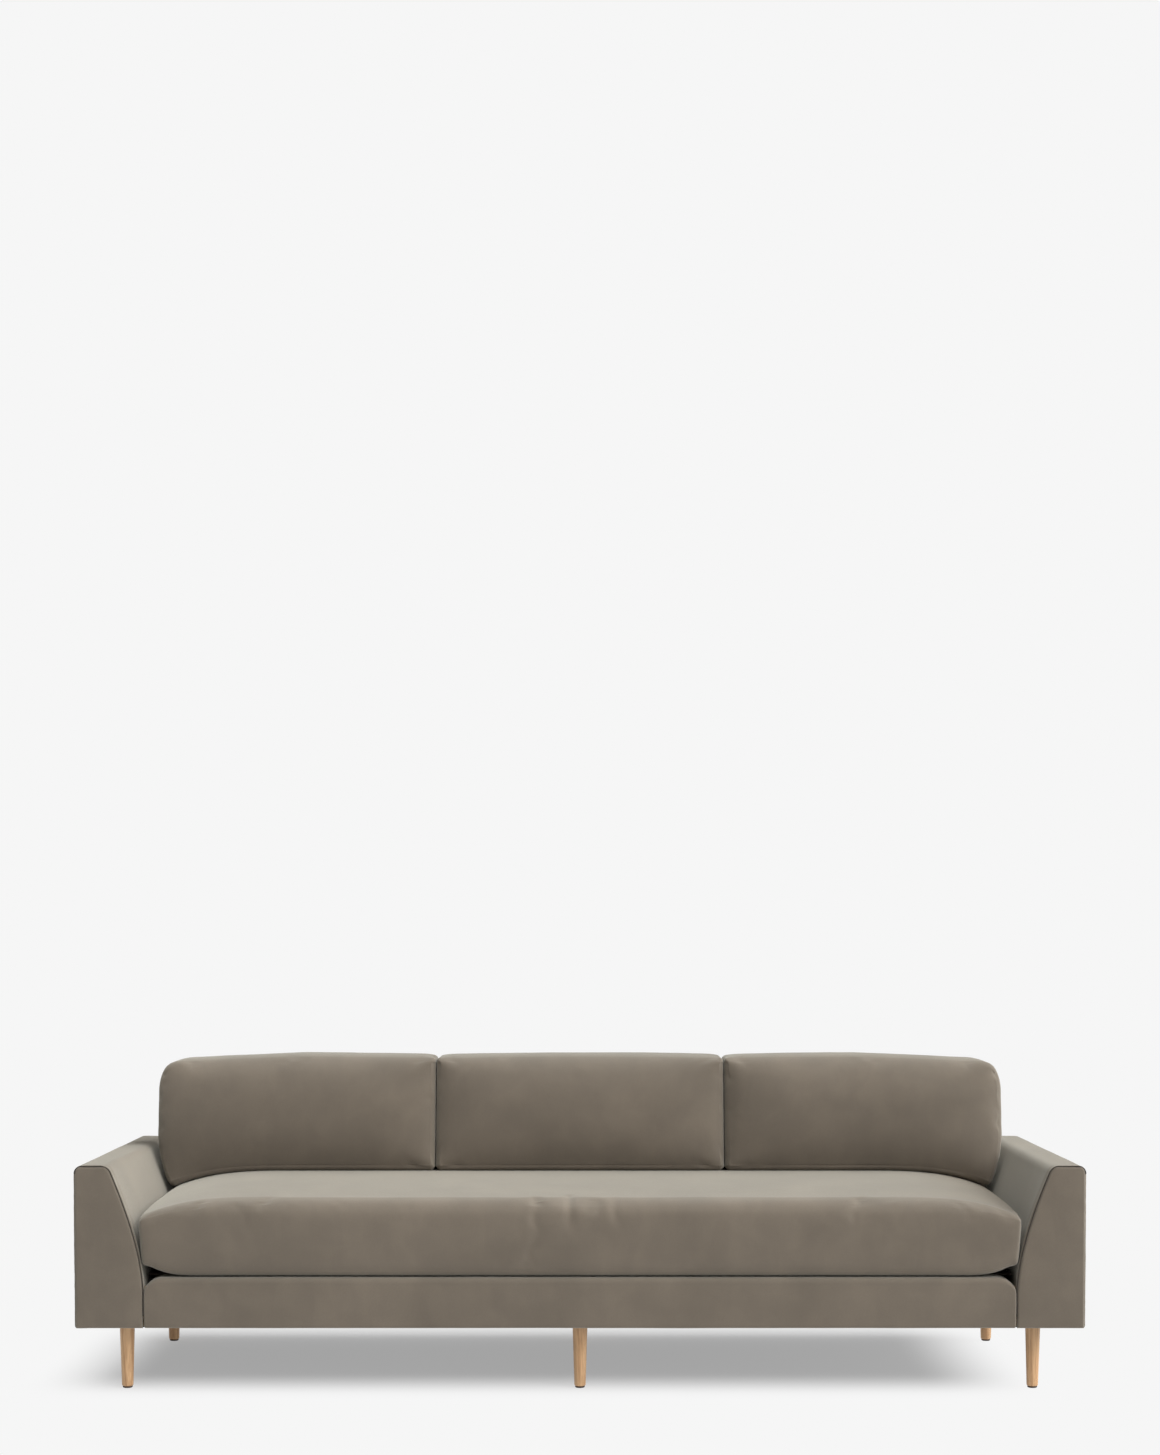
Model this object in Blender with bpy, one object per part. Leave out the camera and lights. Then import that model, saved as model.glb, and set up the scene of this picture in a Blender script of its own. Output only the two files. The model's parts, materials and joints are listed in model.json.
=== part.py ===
"""Three-seat upholstered sofa with loose cushions, on six tapered wooden legs.

Metres, +Z up. The front faces -Y and +X runs along the length. The origin is on the
floor under the middle of the sofa. A left piece is on the -X side.
"""

from math import cos, pi, radians, sin, tan

import bmesh
import bpy
from mathutils import Vector

# Overall size
LENGTH = 2.56
DEPTH = 0.94
ARM_TOP = 0.579
TOTAL_HEIGHT = 0.827
BOX_BOTTOM = 0.166  # underside of the upholstered box, which stands on the legs
GAP = 0.0003  # between pieces that touch

# Padded covers
PAD = 0.014  # cover and padding on the front rail, arm fronts and back
ARM_PAD = 0.012
ARM_BASE = 0.175  # width of an arm at its base
ARM_BASE_HEIGHT = 0.25  # the inner face is upright below this
ARM_SLOPE = radians(22.5)  # of the inner face at the top, from upright
ARM_FLAT_END = 0.0685  # from the outer face to the end of the flat top
ARM_OUTER_RADIUS = 0.020
ARM_INNER_RADIUS = 0.028
FRONT_EDGE = 0.005  # rounding round a front or back panel
RAIL_TOP = 0.2945  # top of the padded front rail
RAIL_RETURN = 0.075  # how far its cover runs back over the top
DECK_TOP = 0.296
DECK_THICKNESS = 0.012
DUST_COVER = 0.002

# Back
BACK_LEAN = radians(11)
BACK_FOOT_Y = 0.2345  # front of the inside back, at deck height
BACK_TOP = 0.573
BACK_RADIUS = 0.025

# Timber frame
TIMBER = 0.025  # thickness of the rails
TIMBER_BOTTOM = BOX_BOTTOM + DUST_COVER + GAP
RAIL_TIMBER_TOP = 0.270
SIDE_TIMBER_TOP = 0.264
FRAME_Y = 0.4522  # outer face of the front and rear rails
POST_WIDTH = 0.045
POST_DEPTH = 0.030
POST_INSET = 0.016  # from an arm's outer face
ARM_RAIL_DROP = (0.045, 0.018)  # from the arm's top to the rail's underside and top
SPRING_RAIL_Y = 0.260
UPRIGHT_X = 1.075
UPRIGHT_HALF_WIDTH = 0.025
BACK_RAIL_HALF = 1.12
BACK_RAIL_DROP = (0.036, 0.002)  # below the padding, to its underside and top
BLOCK_TOP = 0.2083  # corner blocks and centre rail
BLOCK_X = (1.122, 1.2187)
BLOCK_INNER_Y = (-0.340, 0.310)  # at the front and the rear
CENTRE_RAIL_HALF = 0.040
EASE = 0.0015  # chamfer on timber edges

# Legs
LEG_X = 1.1615
LEG_FRONT_Y = -0.385
LEG_REAR_Y = 0.355
LEG_TOP_RADIUS = 0.01925
LEG_FOOT_RADIUS = 0.0145
LEG_FOOT_ROUND = 0.002
GLIDE_RADIUS = 0.0125
GLIDE_THICKNESS = 0.005
GLIDE_PIN = (0.0025, 0.016)  # radius and length
BOLT_RADIUS = 0.004
BOLT_CLEARANCE = 0.0004
BOLT_ENDS = (0.1300, 0.2060)

# Seat springs
SPRING_SPACING = 0.44
SPRING_WIRE = 0.0018
SPRING_HALF_WIDTH = 0.024
SPRING_LOOP = 0.052
SPRING_ENDS = (-0.440, 0.272)
SPRING_SEAT = RAIL_TIMBER_TOP + 0.0026
SPRING_ARCH = 0.006

# Cushions
SEAT_HALF_WIDTH = 1.114
SEAT_FRONT = -0.466
SEAT_REAR = 0.232
SEAT_BOTTOM = 0.2975
SEAT_FRONT_TOP = 0.491
SEAT_CROWN = 0.0175  # rise from the front edge to the crown
SEAT_CROWN_Y = -0.016  # where the top reaches the crown
SEAT_NOSE = (0.070, 0.010)  # length and drop of the soft front edge
SEAT_END_FALL = (0.80, 1.112, 0.042)  # from x, to x, and drop of the top at each end
SEAT_END_LIFT = (0.98, 1.10, 0.025)  # the same for the rise of the underside
SEAT_END_CURVE = 1.5  # how late the ends turn down and up
SEAT_END_LEAN = (0.420, 0.100)  # below this height, in per metre of height at each end
SEAT_EDGE = 0.020
SEAT_PARTS = (20, 4, 1)  # faces along, across and up
BACK_CUSHION_JOIN = 0.400  # where two back cushions meet
BACK_CUSHION_HALF = 1.170
BACK_CUSHION_THICKNESS = 0.150
BACK_CUSHION_BULGE = 0.018
BACK_CUSHION_EDGE = 0.024
BACK_CUSHION_PARTS = (12, 1, 3)
BACK_CUSHION_SAG = 0.010  # of the top's corners
BACK_CUSHION_PRESS = 0.004  # how far the cushion leans past the inside back's line
BACK_CUSHION_GAP = 0.0015  # each side of a join
END_TAPER_X = 0.90  # the outer cushions' ends taper in beyond this
END_TAPER = (0.041, 0.623, 0.457)  # by this much, from one height down to another
CUSHION_CLEARANCE = 0.002
CUSHION_REST_Y = 0.15  # under the back cushions
COVER_CLOTH = 0.003
CORE_INSET = 0.012  # from the outside of the cover to the core, filled with wadding
ZIP_SLOT = 0.008
SEAT_ZIP_HALF = 0.90
BACK_ZIP_HALF = 0.26
BACK_ZIP_INSET = 0.050  # from the rear of the cushion's underside

VELVET = ((0.205, 0.178, 0.142), 0.85, 0.0)
COLOURS = {
    "velvet": VELVET,
    "oak": ((0.56, 0.36, 0.18), 0.45, 0.0),
    "glide_plastic": ((0.045, 0.028, 0.018), 0.5, 0.0),
    "zinc_steel": ((0.55, 0.55, 0.54), 0.35, 1.0),
    "frame_timber": ((0.52, 0.39, 0.24), 0.7, 0.0),
    "spring_steel": ((0.30, 0.30, 0.31), 0.35, 1.0),
    "deck_cloth": ((0.10, 0.088, 0.074), 0.9, 0.0),
    "dust_cloth": ((0.02, 0.02, 0.02), 0.95, 0.0),
    "foam": ((0.78, 0.74, 0.62), 0.95, 0.0),
}


def clear_scene():
    for old in list(bpy.data.objects):
        bpy.data.objects.remove(old, do_unlink=True)


def material(name, finish):
    """A Principled material of the given colour, roughness and metallic value."""
    made = bpy.data.materials.new(name)
    made.use_nodes = True
    shader = made.node_tree.nodes["Principled BSDF"]
    colour, roughness, metallic = COLOURS[finish]
    shader.inputs["Base Color"].default_value = (*colour, 1)
    shader.inputs["Roughness"].default_value = roughness
    shader.inputs["Metallic"].default_value = metallic
    made.diffuse_color = (*colour, 1)
    return made


def add_object(name, data, finish, location=(0, 0, 0)):
    piece = bpy.data.objects.new(name, data)
    piece.location = location
    bpy.context.scene.collection.objects.link(piece)
    data.materials.append(material(name, finish))
    return piece


def add_mesh(name, bm, finish, location=(0, 0, 0), smooth=False):
    """Turns a closed bmesh into a named object with its faces pointing out."""
    bmesh.ops.recalc_face_normals(bm, faces=bm.faces)
    mesh = bpy.data.meshes.new(name)
    bm.to_mesh(mesh)
    bm.free()
    if smooth:
        mesh.shade_smooth()
        mesh.set_sharp_from_angle(angle=radians(35))
    return add_object(name, mesh, finish, location)


# Outlines


def arc(centre, radius, start, end, steps):
    """Points on an arc, with its angles in degrees, both ends included."""
    turns = [radians(start + (end - start) * i / steps) for i in range(steps + 1)]
    return [(centre[0] + radius * cos(t), centre[1] + radius * sin(t)) for t in turns]


def curve_through(start, control, end, steps):
    """Points on a quadratic curve, without its first point."""
    points = []
    for i in range(1, steps + 1):
        t = i / steps
        a, b, c = (1 - t) ** 2, 2 * t * (1 - t), t * t
        points.append(
            tuple(a * p + b * q + c * r for p, q, r in zip(start, control, end))
        )
    return points


def offset_path(path, distance):
    """The open path moved sideways by a distance, with mitred corners."""
    moved = []
    for i, point in enumerate(path):
        before = Vector(path[max(i - 1, 0)])
        here = Vector(point)
        after = Vector(path[min(i + 1, len(path) - 1)])
        into = (here - before).normalized() if i else (after - here).normalized()
        out = (after - here).normalized() if i < len(path) - 1 else into
        sideways = [Vector((-d.y, d.x)) for d in (into, out)]
        mitre = (sideways[0] + sideways[1]).normalized()
        moved.append(tuple(here + mitre * distance / mitre.dot(sideways[0])))
    return moved


def shell_outline(path, thickness):
    """A closed outline round a path that has been thickened to one side."""
    return path + offset_path(path, thickness)[::-1]


def prism(outline, along, start, end):
    """A bmesh of the outline, in the plane across an axis, drawn out along it."""
    spread = {
        "x": lambda a, b: (start, a, b),
        "y": lambda a, b: (a, start, b),
        "z": lambda a, b: (a, b, start),
    }[along]
    step = Vector([(end - start) * (axis == along) for axis in "xyz"])
    bm = bmesh.new()
    face = bm.faces.new([bm.verts.new(spread(*point)) for point in outline])
    grown = bmesh.ops.extrude_face_region(bm, geom=[face])
    verts = [g for g in grown["geom"] if isinstance(g, bmesh.types.BMVert)]
    bmesh.ops.translate(bm, verts=verts, vec=step)
    return bm


def bevel_edges(bm, chosen, width, segments):
    bmesh.ops.bevel(
        bm, geom=chosen, offset=width, segments=segments, profile=0.5, affect="EDGES"
    )


def box(name, low, high, finish, ease=EASE):
    """A timber or board between two corners, with eased edges."""
    outline = [(low[0], low[1]), (high[0], low[1]), (high[0], high[1]), (low[0], high[1])]
    bm = prism(outline, "z", low[2], high[2])
    if ease:
        bevel_edges(bm, bm.edges[:], ease, 1)
    return add_mesh(name, bm, finish)


def lathe(name, profile, sides, finish, location):
    """A turned piece from a profile of radius and height that ends on the axis."""
    bm = bmesh.new()
    verts = [bm.verts.new((radius, 0, height)) for radius, height in profile]
    edges = [bm.edges.new(pair) for pair in zip(verts, verts[1:])]
    bmesh.ops.spin(
        bm, geom=verts + edges, cent=(0, 0, 0), axis=(0, 0, 1), angle=2 * pi, steps=sides
    )
    bmesh.ops.remove_doubles(bm, verts=bm.verts, dist=0.00001)
    return add_mesh(name, bm, finish, location, smooth=True)


def cut(piece, cutter_name, bm):
    """Takes the closed shape bm out of a piece."""
    cutter = add_mesh(cutter_name, bm, "zinc_steel")
    cutter.hide_render = True
    cutter.display_type = "WIRE"
    boolean = piece.modifiers.new(cutter_name, "BOOLEAN")
    boolean.operation = "DIFFERENCE"
    boolean.solver = "EXACT"
    boolean.object = cutter


def cylinder(radius, low, high, x, y, sides):
    outline = [
        (x + radius * cos(2 * pi * i / sides), y + radius * sin(2 * pi * i / sides))
        for i in range(sides)
    ]
    return prism(outline, "z", low, high)


def both_sides():
    yield "left", -1
    yield "right", 1


def arm_path(inner_bottom, margin=0.0):
    """An arm's outline from the foot of its outer face, over the top and down inside.

    Each point is the distance in from the sofa's end, and the height.
    """
    outer_centre = (ARM_OUTER_RADIUS, ARM_TOP - ARM_OUTER_RADIUS)
    inner_centre = (ARM_FLAT_END, ARM_TOP - ARM_INNER_RADIUS)
    path = [(0, BOX_BOTTOM)]
    path += arc(outer_centre, ARM_OUTER_RADIUS, 180, 90, 4)
    inside = arc(inner_centre, ARM_INNER_RADIUS, 90, 22.5, 4)
    slope_start = inside[-1]
    run = ARM_BASE - slope_start[0]
    control = (ARM_BASE, slope_start[1] - run / tan(ARM_SLOPE))
    inside += curve_through(slope_start, control, (ARM_BASE, ARM_BASE_HEIGHT), 8)
    kept = [point for point in inside if point[1] > inner_bottom]
    if inner_bottom < ARM_BASE_HEIGHT:
        last = ARM_BASE
    else:
        below = inside[len(kept)]
        share = (kept[-1][1] - inner_bottom) / (kept[-1][1] - below[1])
        last = kept[-1][0] + (below[0] - kept[-1][0]) * share
    path += kept + [(last, inner_bottom)]
    return [(w + margin * (w > ARM_FLAT_END), z) for w, z in path]


def on_side(side, outline):
    """Turns distances in from the sofa's end into x."""
    return [(side * (LENGTH / 2 - w), z) for w, z in outline]


# Frame


def timber_frame():
    rail_x = LENGTH / 2 - POST_INSET - 0.002
    post_y = FRAME_Y - TIMBER - GAP
    rail_bottom, rail_top = ARM_RAIL_DROP
    for name, side in (("front_rail", -1), ("rear_rail", 1)):
        faces = sorted((side * FRAME_Y, side * (FRAME_Y - TIMBER)))
        box(
            name,
            (-rail_x, faces[0], TIMBER_BOTTOM),
            (rail_x, faces[1], RAIL_TIMBER_TOP),
            "frame_timber",
        )
    for word, side in both_sides():
        outer = side * (LENGTH / 2 - POST_INSET)
        inner = outer - side * POST_WIDTH
        low_x, high_x = sorted((outer, inner))
        for end, y in (("front", -post_y), ("rear", post_y - POST_DEPTH)):
            box(
                f"arm_{end}_post_{word}",
                (low_x, y, TIMBER_BOTTOM),
                (high_x, y + POST_DEPTH, ARM_TOP - rail_bottom),
                "frame_timber",
            )
        box(
            f"arm_top_rail_{word}",
            (low_x, -post_y, ARM_TOP - rail_bottom + GAP),
            (high_x, post_y, ARM_TOP - rail_top),
            "frame_timber",
        )
        low_x, high_x = sorted((outer, outer - side * TIMBER))
        rail_y = post_y - POST_DEPTH - GAP
        box(
            f"side_rail_{word}",
            (low_x, -rail_y, TIMBER_BOTTOM),
            (high_x, rail_y, SIDE_TIMBER_TOP),
            "frame_timber",
        )
    back_frame(post_y)


def back_frame(post_y):
    """The spring rail, and the uprights and top rail inside the back."""
    spring_rail_x = LENGTH / 2 - POST_INSET - TIMBER - GAP
    box(
        "spring_rail",
        (-spring_rail_x, SPRING_RAIL_Y, BLOCK_TOP + GAP),
        (spring_rail_x, SPRING_RAIL_Y + TIMBER, RAIL_TIMBER_TOP),
        "frame_timber",
    )
    front, rear = post_y - POST_DEPTH, post_y
    half = UPRIGHT_HALF_WIDTH
    rail_bottom, rail_top = (BACK_TOP - PAD - drop for drop in BACK_RAIL_DROP)
    for word, x in (("left", -UPRIGHT_X), ("centre", 0), ("right", UPRIGHT_X)):
        foot = BLOCK_TOP + GAP if word == "centre" else TIMBER_BOTTOM
        box(
            f"back_upright_{word}",
            (x - half, front, foot),
            (x + half, rear, rail_bottom),
            "frame_timber",
        )
    box(
        "back_top_rail",
        (-BACK_RAIL_HALF, front, rail_bottom + GAP),
        (BACK_RAIL_HALF, rear, rail_top),
        "frame_timber",
    )


def leg_places():
    """Word, x and y of each leg."""
    for end, y in (("front", LEG_FRONT_Y), ("rear", LEG_REAR_Y)):
        for word, x in (("left", -LEG_X), ("centre", 0), ("right", LEG_X)):
            yield f"{end}_{word}", x, y


def leg_blocks():
    """The four corner blocks and the centre rail, drilled for the hanger bolts."""
    drill = BOLT_RADIUS + BOLT_CLEARANCE
    inner_y = FRAME_Y - TIMBER - GAP
    drilled = {}
    outer_faces = (-inner_y, inner_y)
    for end, outer, inner in zip(("front", "rear"), outer_faces, BLOCK_INNER_Y):
        for word, side in both_sides():
            low_x, high_x = sorted(side * x for x in BLOCK_X)
            drilled[f"{end}_{word}"] = box(
                f"corner_block_{end}_{word}",
                (low_x, min(outer, inner), TIMBER_BOTTOM),
                (high_x, max(outer, inner), BLOCK_TOP),
                "frame_timber",
            )
    centre = box(
        "centre_rail",
        (-CENTRE_RAIL_HALF, -inner_y, TIMBER_BOTTOM),
        (CENTRE_RAIL_HALF, inner_y, BLOCK_TOP),
        "frame_timber",
    )
    drilled["front_centre"] = drilled["rear_centre"] = centre
    for place, x, y in leg_places():
        hole = cylinder(drill, TIMBER_BOTTOM - 0.01, BLOCK_TOP + 0.01, x, y, 12)
        cut(drilled[place], f"drill_{place}", hole)


def legs():
    drill = BOLT_RADIUS + BOLT_CLEARANCE
    foot = GLIDE_THICKNESS + GAP
    pin_radius, pin_length = GLIDE_PIN
    leg = [
        (0, foot + pin_length + 0.001),
        (pin_radius + BOLT_CLEARANCE, foot + pin_length + 0.001),
        (pin_radius + BOLT_CLEARANCE, foot),
        (LEG_FOOT_RADIUS - LEG_FOOT_ROUND, foot),
        (LEG_FOOT_RADIUS - 0.3 * LEG_FOOT_ROUND, foot + 0.3 * LEG_FOOT_ROUND),
        (LEG_FOOT_RADIUS, foot + LEG_FOOT_ROUND),
        (LEG_TOP_RADIUS, BOX_BOTTOM - GAP),
        (drill, BOX_BOTTOM - GAP),
        (drill, BOLT_ENDS[0] - GAP),
        (0, BOLT_ENDS[0] - GAP),
    ]
    glide = [
        (0, 0),
        (GLIDE_RADIUS - 0.0015, 0),
        (GLIDE_RADIUS, 0.0015),
        (GLIDE_RADIUS, GLIDE_THICKNESS),
        (pin_radius, GLIDE_THICKNESS),
        (pin_radius, foot + pin_length),
        (0, foot + pin_length),
    ]
    bolt = [
        (0, BOLT_ENDS[0]),
        (BOLT_RADIUS * 0.5, BOLT_ENDS[0]),
        (BOLT_RADIUS, BOLT_ENDS[0] + 0.006),
        (BOLT_RADIUS, BOLT_ENDS[1] - 0.001),
        (BOLT_RADIUS - 0.001, BOLT_ENDS[1]),
        (0, BOLT_ENDS[1]),
    ]
    for place, x, y in leg_places():
        lathe(f"leg_{place}", leg, 24, "oak", (x, y, 0))
        lathe(f"glide_{place}", glide, 16, "glide_plastic", (x, y, 0))
        lathe(f"hanger_bolt_{place}", bolt, 12, "zinc_steel", (x, y, 0))


def seat_springs():
    """Zigzag springs from the front rail to the spring rail, arched in the middle."""
    start, end = SPRING_ENDS
    loops = round((end - start) / SPRING_LOOP)
    for number in range(5):
        points = []
        for i in range(2 * loops + 1):
            y = start + (end - start) * i / (2 * loops)
            share = (y - start) / (end - start)
            z = SPRING_SEAT + SPRING_ARCH * sin(pi * share)
            side = 1 if i % 2 else -1
            for turn in (-0.25, 0.25):
                ahead = y + turn * SPRING_LOOP * 0.6
                points.append((side * SPRING_HALF_WIDTH, min(max(ahead, start), end), z))
        curve = bpy.data.curves.new(f"seat_spring_{number + 1}", "CURVE")
        curve.dimensions = "3D"
        curve.bevel_depth = SPRING_WIRE
        curve.bevel_resolution = 0
        curve.use_fill_caps = True
        spline = curve.splines.new("POLY")
        kept = points[1:-1]
        spline.points.add(len(kept) - 1)
        for point, (x, y, z) in zip(spline.points, kept):
            point.co = (x, y, z, 1)
        x = (number - 2) * SPRING_SPACING
        add_object(curve.name, curve, "spring_steel", (x, 0, 0))


# Upholstery


def arm_upholstery():
    panel_y = DEPTH / 2 - PAD - GAP
    for word, side in both_sides():
        shell = shell_outline(arm_path(DECK_TOP - DECK_THICKNESS), -ARM_PAD)
        bm = prism(on_side(side, shell), "y", -panel_y, panel_y)
        add_mesh(f"arm_cover_{word}", bm, "velvet", smooth=True)
        outline = on_side(side, arm_path(BOX_BOTTOM))
        bm = prism(outline, "y", -DEPTH / 2, -DEPTH / 2 + PAD)
        bevel_rim(bm, -DEPTH / 2)
        add_mesh(f"arm_front_panel_{word}", bm, "velvet", smooth=True)


def bevel_rim(bm, y):
    """Rounds the edges that lie in the plane at y."""
    rim = [e for e in bm.edges if all(abs(v.co.y - y) < 1e-6 for v in e.verts)]
    bevel_edges(bm, rim, FRONT_EDGE, 2)


def front_rail_cover():
    """A padded cover over the face and top of the front rail, between the arms."""
    front, corner = -DEPTH / 2, 0.015
    path = [(front, BOX_BOTTOM)]
    path += arc((front + corner, RAIL_TOP - corner), corner, 180, 90, 4)
    path += [(front + RAIL_RETURN, RAIL_TOP)]
    half = LENGTH / 2 - ARM_BASE - GAP
    bm = prism(shell_outline(path, -PAD), "x", -half, half)
    add_mesh("front_rail_cover", bm, "velvet", smooth=True)


def back_upholstery():
    """The leaning inside back, and the panel across the outside."""
    deck_bottom = DECK_TOP - DECK_THICKNESS
    rise = BACK_TOP - deck_bottom
    lean_degrees = 90 - BACK_LEAN * 180 / pi
    top_y = BACK_FOOT_Y + rise * tan(BACK_LEAN)
    shift = BACK_RADIUS * tan(radians(lean_degrees / 2))
    centre = (top_y + shift, BACK_TOP - BACK_RADIUS)
    path = [(BACK_FOOT_Y, deck_bottom)]
    path += arc(centre, BACK_RADIUS, 90 + lean_degrees, 90, 5)
    path += [(DEPTH / 2 - PAD - GAP, BACK_TOP)]
    bm = prism(shell_outline(path, -PAD), "x", -1.23, 1.23)
    inside_back = add_mesh("inside_back_cover", bm, "velvet", smooth=True)
    for word, side in both_sides():
        path = arm_path(BOX_BOTTOM, margin=0.0006)
        path = [(w, z + 0.0006 * (z > BOX_BOTTOM)) for w, z in path]
        bm = prism(on_side(side, path), "y", -0.6, 0.6)
        cut(inside_back, f"arm_recess_{word}", bm)

    # the outside panel follows both arms' outer corners
    outline = [(-LENGTH / 2, BOX_BOTTOM)]
    centre_x, centre_z = LENGTH / 2 - ARM_OUTER_RADIUS, ARM_TOP - ARM_OUTER_RADIUS
    outline += arc((-centre_x, centre_z), ARM_OUTER_RADIUS, 180, 90, 4)
    outline += arc((centre_x, centre_z), ARM_OUTER_RADIUS, 90, 0, 4)
    outline += [(LENGTH / 2, BOX_BOTTOM)]
    bm = prism(outline, "y", DEPTH / 2 - PAD, DEPTH / 2)
    bevel_rim(bm, DEPTH / 2)
    add_mesh("outside_back_panel", bm, "velvet", smooth=True)


def deck_and_dust_cover():
    half = LENGTH / 2 - ARM_BASE - 0.001
    box(
        "seat_deck",
        (-half, -DEPTH / 2 + RAIL_RETURN + GAP, DECK_TOP - DECK_THICKNESS),
        (half, BACK_FOOT_Y - GAP, DECK_TOP),
        "deck_cloth",
        ease=0,
    )
    inset = ARM_PAD + 0.003
    dust_cover = box(
        "dust_cover",
        (-LENGTH / 2 + inset, -DEPTH / 2 + PAD + 0.001, BOX_BOTTOM),
        (LENGTH / 2 - inset, DEPTH / 2 - PAD - 0.001, BOX_BOTTOM + DUST_COVER),
        "dust_cloth",
        ease=0,
    )
    for place, x, y in leg_places():
        hole = cylinder(BOLT_RADIUS + 0.001, BOX_BOTTOM - 0.01, TIMBER_BOTTOM, x, y, 10)
        cut(dust_cover, f"bolt_hole_{place}", hole)


# Cushions


def lattice(half_sizes, edge, counts):
    """A rounded box as a closed bmesh, with more rows near its edges."""
    rows = []
    for half, count in zip(half_sizes, counts):
        inner = half - edge
        middle = [-inner + 2 * inner * i / count for i in range(count + 1)]
        rows.append([-half, *middle, half])
    last = [len(row) - 1 for row in rows]
    bm = bmesh.new()
    verts = {}

    def vert(key):
        if key not in verts:
            flat = Vector([row[i] for row, i in zip(rows, key)])
            limits = [half - edge for half in half_sizes]
            core = Vector([max(-m, min(m, c)) for c, m in zip(flat, limits)])
            verts[key] = bm.verts.new(core + (flat - core).normalized() * edge)
        return verts[key]

    for axis in range(3):
        others = [i for i in range(3) if i != axis]
        for level in (0, last[axis]):
            for i in range(last[others[0]]):
                for j in range(last[others[1]]):
                    corners = []
                    for di, dj in ((0, 0), (1, 0), (1, 1), (0, 1)):
                        key = [0, 0, 0]
                        key[axis] = level
                        key[others[0]] = i + di
                        key[others[1]] = j + dj
                        corners.append(vert(tuple(key)))
                    bm.faces.new(corners)
    return bm


def reshape(bm, rule):
    for vert in bm.verts:
        vert.co = rule(vert.co)
    return bm


def ramp(value, start, end):
    """0 before start, 1 after end, and a smooth rise between."""
    share = max(0.0, min(1.0, (value - start) / (end - start)))
    return share * share


def seat_top(x, y):
    """Height of the seat cushion's top: crowned, soft at the front, lower at its ends."""
    start, end, fall = SEAT_END_FALL
    length, drop = SEAT_NOSE
    height = SEAT_FRONT_TOP + SEAT_CROWN * (1 - ramp(-y, -SEAT_CROWN_Y, -SEAT_FRONT))
    height -= drop * ramp(-y, -SEAT_FRONT - length, -SEAT_FRONT)
    return height - fall * ramp(abs(x), start, end) ** SEAT_END_CURVE


def seat_bottom(x):
    start, end, lift = SEAT_END_LIFT
    return SEAT_BOTTOM + lift * ramp(abs(x), start, end) ** SEAT_END_CURVE


def seat_cushion_shape(inset):
    """The bench cushion, shrunk by an inset all round."""
    centre_y = (SEAT_FRONT + SEAT_REAR) / 2
    half_height = (SEAT_FRONT_TOP - SEAT_BOTTOM) / 2
    half = (SEAT_HALF_WIDTH, (SEAT_REAR - SEAT_FRONT) / 2, half_height)
    shrunk = tuple(size - inset for size in half)
    lean_top, lean = SEAT_END_LEAN

    def rule(point):
        y = point.y + centre_y
        low, high = seat_bottom(point.x) + inset, seat_top(point.x, y) - inset
        share = (point.z / shrunk[2] + 1) / 2
        z = low + (high - low) * share
        x = point.x * (1 - lean * max(0.0, lean_top - z))
        return Vector((x, y, z))

    return reshape(lattice(shrunk, SEAT_EDGE - inset / 2, SEAT_PARTS), rule)


def back_cushion_shape(low_x, high_x, inset):
    """A back cushion between two ends, leaning on the inside back."""
    centre_x, half_x = (low_x + high_x) / 2, (high_x - low_x) / 2
    underside = seat_top(0, CUSHION_REST_Y) + CUSHION_CLEARANCE
    half = (half_x, BACK_CUSHION_THICKNESS / 2, (TOTAL_HEIGHT - underside) / 2)
    shrunk = tuple(size - inset for size in half)
    taper, taper_top, taper_bottom = END_TAPER

    def rule(point):
        x = point.x + centre_x
        across = point.x / half_x
        up = point.z / shrunk[2]
        outward = max(0.0, abs(x) - END_TAPER_X) / (BACK_CUSHION_HALF - END_TAPER_X)
        foot_x = abs(x) - taper * outward
        low = seat_top(foot_x, CUSHION_REST_Y) + CUSHION_CLEARANCE + inset
        high = TOTAL_HEIGHT - BACK_CUSHION_SAG * across**4 - inset
        z = low + (high - low) * (up + 1) / 2
        rear = BACK_FOOT_Y + (z - DECK_TOP) * tan(BACK_LEAN) - BACK_CUSHION_PRESS
        y = rear + point.y - half[1]
        if point.y < 0:
            y -= BACK_CUSHION_BULGE * (1 - across**2) * (1 - up**2)
        side = 1 if x > 0 else -1
        x -= side * taper * outward * ramp(-z, -taper_top, -taper_bottom)
        return Vector((x, y, z))

    return reshape(lattice(shrunk, BACK_CUSHION_EDGE - inset / 2, BACK_CUSHION_PARTS), rule)


def zipped_cover(name, bm, slot_low, slot_high):
    """A cloth cover round a cushion, open at its zip slot."""
    cover = add_mesh(name, bm, "velvet", smooth=True)
    cloth = cover.modifiers.new("cloth", "SOLIDIFY")
    cloth.thickness = COVER_CLOTH
    cloth.offset = -1
    outline = [
        (slot_low[0], slot_low[1]),
        (slot_high[0], slot_low[1]),
        (slot_high[0], slot_high[1]),
        (slot_low[0], slot_high[1]),
    ]
    cut(cover, f"zip_slot_{name}", prism(outline, "z", slot_low[2], slot_high[2]))


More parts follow.
